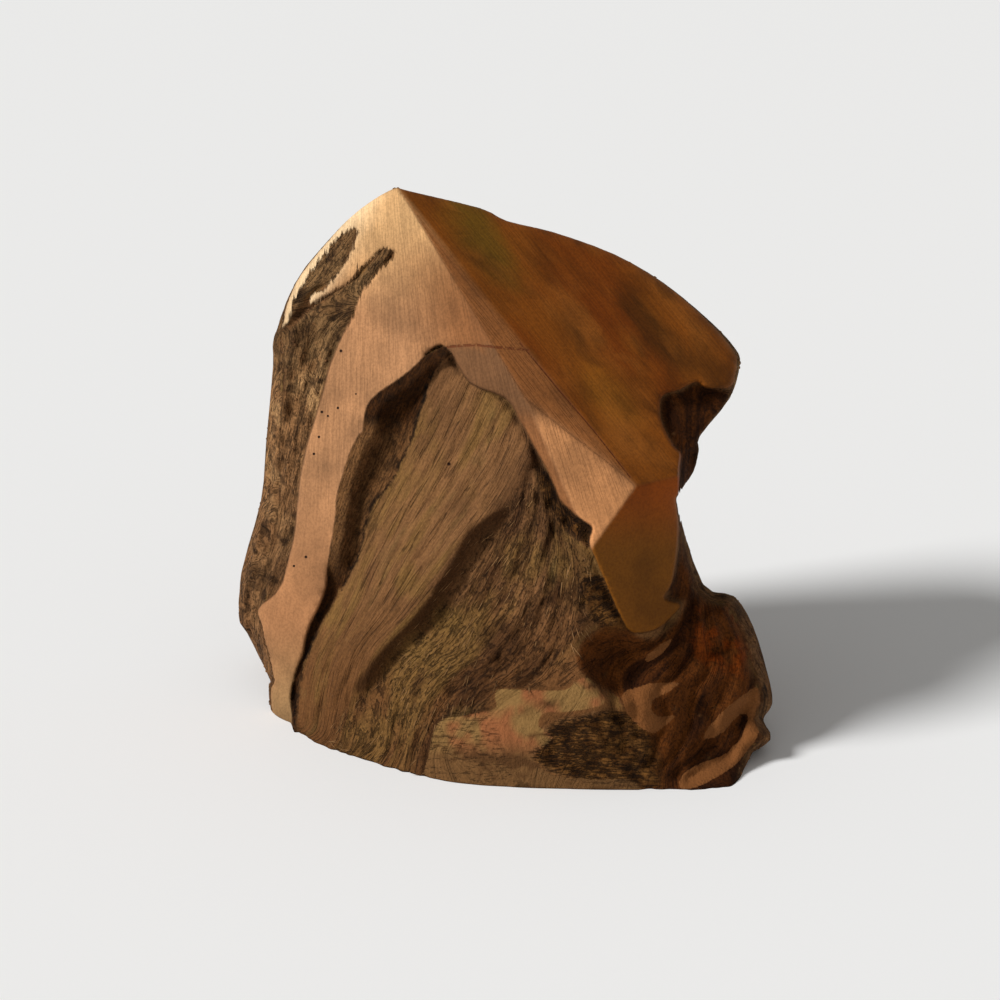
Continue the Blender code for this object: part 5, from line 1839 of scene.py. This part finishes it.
    def growth(self, across: Grid, up: Grid) -> Points:
        """The direction in which the fibres run, in the object's own axes.

        Args:
            across: places across the sheet.
            up: places up the sheet.

        Returns:
            Rows of three.
        """
        form, sheet, reach = self.form, self.form.sheet, self.growth_reach
        along = form.flow.along
        run = sheet.read(along, across + reach, up) - sheet.read(along, across - reach, up)
        rise = sheet.read(along, across, up + reach) - sheet.read(along, across, up - reach)
        size = np.maximum(np.hypot(run, rise), 1e-6)
        run, rise = run / size, rise / size
        depth = form.front(across + run * reach, up + rise * reach) - form.front(across, up)
        depth = np.clip(depth / reach, -2, 2)
        lean, height = math.sin(SHEET_LEAN), math.cos(SHEET_LEAN)
        return np.stack((run, rise * lean + depth * height, rise * height - depth * lean), 1)


@dataclass(frozen=True)
class LooseFibre:
    """The finish of torn fibres and crumbs: one kind of dry wood each."""

    name: str
    pale: Tone
    dark: Tone
    fineness: float = 220.0

    def make(self) -> bpy.types.Material:
        """Builds the material.

        Returns:
            The material.
        """
        graph = Graph(self.name)
        spot = graph.node("ShaderNodeTexCoord").outputs["Object"]
        tone = graph.step(graph.noise(spot, self.fineness, 3.0, 0.6), 0.38, 0.62)
        graph.feed(graph.shader.inputs["Base Color"], graph.mix(tone, self.pale, self.dark))
        graph.shader.inputs["Roughness"].default_value = 0.9
        graph.shader.inputs["Specular IOR Level"].default_value = 0.1
        return graph.material


TORN_FIBRE = LooseFibre("torn_fibre", pale=linear(150, 112, 72), dark=linear(76, 50, 30))
BARK_CRUMB = LooseFibre("bark_crumb", pale=linear(136, 98, 62), dark=linear(76, 50, 30))


class Shape(Enum):
    """What a scattered piece looks like."""

    SPLINTER = "splinter"
    CRUMB = "crumb"


@dataclass
class Scatter:
    """Small pieces strewn over the root by Geometry Nodes.

    Attributes:
        name: name of the finished piece.
        shape: splinters that lie along the growth, or crumbs.
        number: pieces on a square centimetre where they are thickest.
        length: mean length of one, in millimetres.
        thickness: mean thickness of one, in millimetres.
        seed: the random seed.
        sunk: how far their middles lie below the surface, in millimetres.
        sizes: smallest and largest size, as a share of the mean.
        tilt: how far a splinter turns away from the growth, in radians.
        sides: sides of a splinter.
        bends: pieces along a splinter.
    """

    name: str
    shape: Shape
    number: float
    length: float
    thickness: float
    seed: int
    sunk: float
    sizes: Span = (0.45, 1.5)
    tilt: float = 0.16
    sides: int = 4
    bends: int = 2

    def tree(self, finish: bpy.types.Material) -> bpy.types.NodeTree:
        """The node tree, with its sizes as inputs.

        Args:
            finish: the material of the pieces.

        Returns:
            The tree.
        """
        tree = bpy.data.node_groups.new(self.name, "GeometryNodeTree")
        sockets = tree.interface
        sockets.new_socket("Geometry", in_out="INPUT", socket_type="NodeSocketGeometry")
        for label in ("Number", "Length", "Thickness", "Sunk"):
            sockets.new_socket(label, in_out="INPUT", socket_type="NodeSocketFloat")
        sockets.new_socket("Seed", in_out="INPUT", socket_type="NodeSocketInt")
        sockets.new_socket("Geometry", in_out="OUTPUT", socket_type="NodeSocketGeometry")
        network = Network(tree)
        add, given = network.node, network.node("NodeGroupInput").outputs
        where = add("GeometryNodeInputNamedAttribute", {"Name": self.shape.value}, data_type="FLOAT")
        thick = {0: given["Number"], 1: where.outputs["Attribute"]}
        density = add("ShaderNodeMath", thick, operation="MULTIPLY").outputs[0]
        strewn = {"Mesh": given["Geometry"], "Density": density, "Seed": given["Seed"]}
        strewn = add("GeometryNodeDistributePointsOnFaces", strewn).outputs
        growth = add("GeometryNodeInputNamedAttribute", {"Name": "growth"}, data_type="FLOAT_VECTOR")
        along = {"Vector": growth.outputs["Attribute"]}
        along = add("FunctionNodeAlignRotationToVector", along, axis="Z").outputs["Rotation"]
        turn = self.tilt if self.shape is Shape.SPLINTER else math.pi
        turns = {"Min": (-turn, -turn, -math.pi), "Max": (turn, turn, math.pi), "Seed": given["Seed"]}
        turned = add("FunctionNodeRandomValue", turns, data_type="FLOAT_VECTOR").outputs["Value"]
        both = {"Rotation": along, "Rotate By": turned}
        both = add("FunctionNodeRotateRotation", both, rotation_space="LOCAL").outputs["Rotation"]
        sizes = dict(zip(("Min", "Max"), self.sizes)) | {"Seed": given["Seed"]}
        size = add("FunctionNodeRandomValue", sizes, data_type="FLOAT").outputs[1]
        if self.shape is Shape.SPLINTER:
            form = {
                "Vertices": self.sides, "Side Segments": self.bends, "Radius Bottom": given["Thickness"],
                "Depth": given["Length"],
            }
            piece = add("GeometryNodeMeshCone", form, fill_type="TRIANGLE_FAN")
        else:
            piece = add("GeometryNodeMeshIcoSphere", {"Subdivisions": 1, "Radius": given["Thickness"]})
        sunk = {0: strewn["Normal"], "Scale": given["Sunk"]}
        sunk = add("ShaderNodeVectorMath", sunk, operation="SCALE").outputs["Vector"]
        moved = add("GeometryNodeSetPosition", {"Geometry": strewn["Points"], "Offset": sunk})
        placed = {
            "Points": moved.outputs["Geometry"], "Instance": piece.outputs["Mesh"], "Rotation": both,
            "Scale": size,
        }
        placed = add("GeometryNodeInstanceOnPoints", placed).outputs["Instances"]
        real = add("GeometryNodeRealizeInstances", {"Geometry": placed}).outputs["Geometry"]
        dressed = add("GeometryNodeSetMaterial", {"Material": finish, "Geometry": real}).outputs["Geometry"]
        add("NodeGroupOutput", {"Geometry": dressed})
        return tree

    def build(self, ground: bpy.types.Object, finish: bpy.types.Material) -> bpy.types.Object:
        """Strews the pieces and makes them one plain mesh.

        Args:
            ground: the root's body, which has the density attribute.
            finish: the material of the pieces.

        Returns:
            The finished piece.
        """
        piece = bpy.data.objects.new(self.name, ground.data.copy())
        bpy.context.scene.collection.objects.link(piece)
        tree = self.tree(finish)
        modifier = piece.modifiers.new("strewn", "NODES")
        modifier.node_group = tree
        values = {
            "Number": self.number * 1e4, "Length": self.length * MM, "Thickness": self.thickness * MM,
            "Sunk": -self.sunk * MM, "Seed": self.seed,
        }
        for item in tree.interface.items_tree:
            if item.in_out == "INPUT" and item.name in values:
                modifier[item.identifier] = values[item.name]
        graph = bpy.context.evaluated_depsgraph_get()
        mesh = bpy.data.meshes.new_from_object(piece.evaluated_get(graph))
        piece.modifiers.remove(modifier)
        piece.data = mesh
        mesh.name = self.name
        for name in [stored.name for stored in mesh.attributes if stored.name in STORED]:
            mesh.attributes.remove(mesh.attributes[name])
        keep_inside(mesh)
        mesh.shade_smooth()
        return piece


@dataclass
class Studio:
    """Plain pale floor, soft light and the camera at the photograph's angle."""

    floor_reach: float = 5.0
    floor_colour: Tone = (0.95, 0.95, 0.945, 1.0)
    sun_direction: tuple[float, float, float] = (-0.74, -0.30, 0.60)
    sun_power: float = 3.2
    sun_spread: float = math.radians(16)
    air: Tone = (1.0, 0.99, 0.97, 1.0)
    air_power: float = 0.27
    frame_width: float = 250.0
    sensor: float = 36.0

    def floor(self) -> bpy.types.Object:
        """The floor.

        Returns:
            The floor object.
        """
        reach = self.floor_reach
        mesh = bpy.data.meshes.new("studio_floor")
        corners = [(-reach, -reach, 0), (reach, -reach, 0), (reach, reach, 0), (-reach, reach, 0)]
        mesh.from_pydata(corners, [], [(0, 1, 2, 3)])
        material = bpy.data.materials.new("studio_floor")
        material.use_nodes = True
        shader = material.node_tree.nodes["Principled BSDF"]
        shader.inputs["Base Color"].default_value = self.floor_colour
        shader.inputs["Roughness"].default_value = 0.9
        mesh.materials.append(material)
        floor = bpy.data.objects.new("studio_floor", mesh)
        bpy.context.scene.collection.objects.link(floor)
        return floor

    def light(self) -> None:
        """The soft key from the left, and the air's even light."""
        sun = bpy.data.lights.new("studio_key", "SUN")
        sun.energy = self.sun_power
        sun.angle = self.sun_spread
        lamp = bpy.data.objects.new("studio_key", sun)
        lamp.rotation_euler = Vector(self.sun_direction).to_track_quat("Z", "Y").to_euler()
        bpy.context.scene.collection.objects.link(lamp)
        world = bpy.data.worlds.new("studio_air")
        world.use_nodes = True
        background = world.node_tree.nodes["Background"]
        background.inputs["Color"].default_value = self.air
        background.inputs["Strength"].default_value = self.air_power
        bpy.context.scene.world = world
        bpy.context.scene.view_settings.view_transform = "Standard"

    def camera(self) -> None:
        """The camera, square to the leaning sheet."""
        lean, rise = math.cos(SHEET_LEAN), math.sin(SHEET_LEAN)
        aim = Vector((-MIDDLE_ACROSS, EYE_UP * rise - MIDDLE_BACK, EYE_UP * lean)) * MM
        back = Vector((0.0, -lean, rise))
        lens = bpy.data.cameras.new("studio_camera")
        lens.sensor_width = self.sensor
        lens.lens = self.sensor * EYE_TO_SHEET / self.frame_width
        eye = bpy.data.objects.new("studio_camera", lens)
        eye.location = aim + back * (EYE_TO_SHEET * MM)
        eye.rotation_euler = back.to_track_quat("Z", "Y").to_euler()
        bpy.context.scene.collection.objects.link(eye)
        bpy.context.scene.camera = eye


def adopt(piece: bpy.types.Object) -> None:
    """Makes a piece ride on the root, and logs its triangles.

    Args:
        piece: the piece.
    """
    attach(piece, BODY)
    triangles = sum(len(face.vertices) - 2 for face in piece.data.polygons)
    LOG.info("%s: %d triangles", piece.name, triangles)


def main() -> None:
    """Builds the root, its fibres and crumbs, and the studio."""
    logging.basicConfig(level=logging.INFO, format="%(name)s: %(message)s")
    form = RootForm()
    LOG.info("form drawn")
    body = RootBody(form, SurfaceNet(form)).build(HeatherWood())
    adopt(body)
    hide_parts(NODE)
    fibres = Scatter(
        "torn_fibres", Shape.SPLINTER, number=60.0, length=3.2, thickness=0.13, seed=7, sunk=0.12
    )
    crumbs = Scatter(
        "bark_crumbs", Shape.CRUMB, number=16.0, length=1.0, thickness=0.42, seed=8, sunk=0.22
    )
    adopt(fibres.build(body, TORN_FIBRE.make()))
    adopt(crumbs.build(body, BARK_CRUMB.make()))
    studio = Studio()
    studio.floor()
    studio.light()
    studio.camera()


if __name__ == "__main__":
    main()
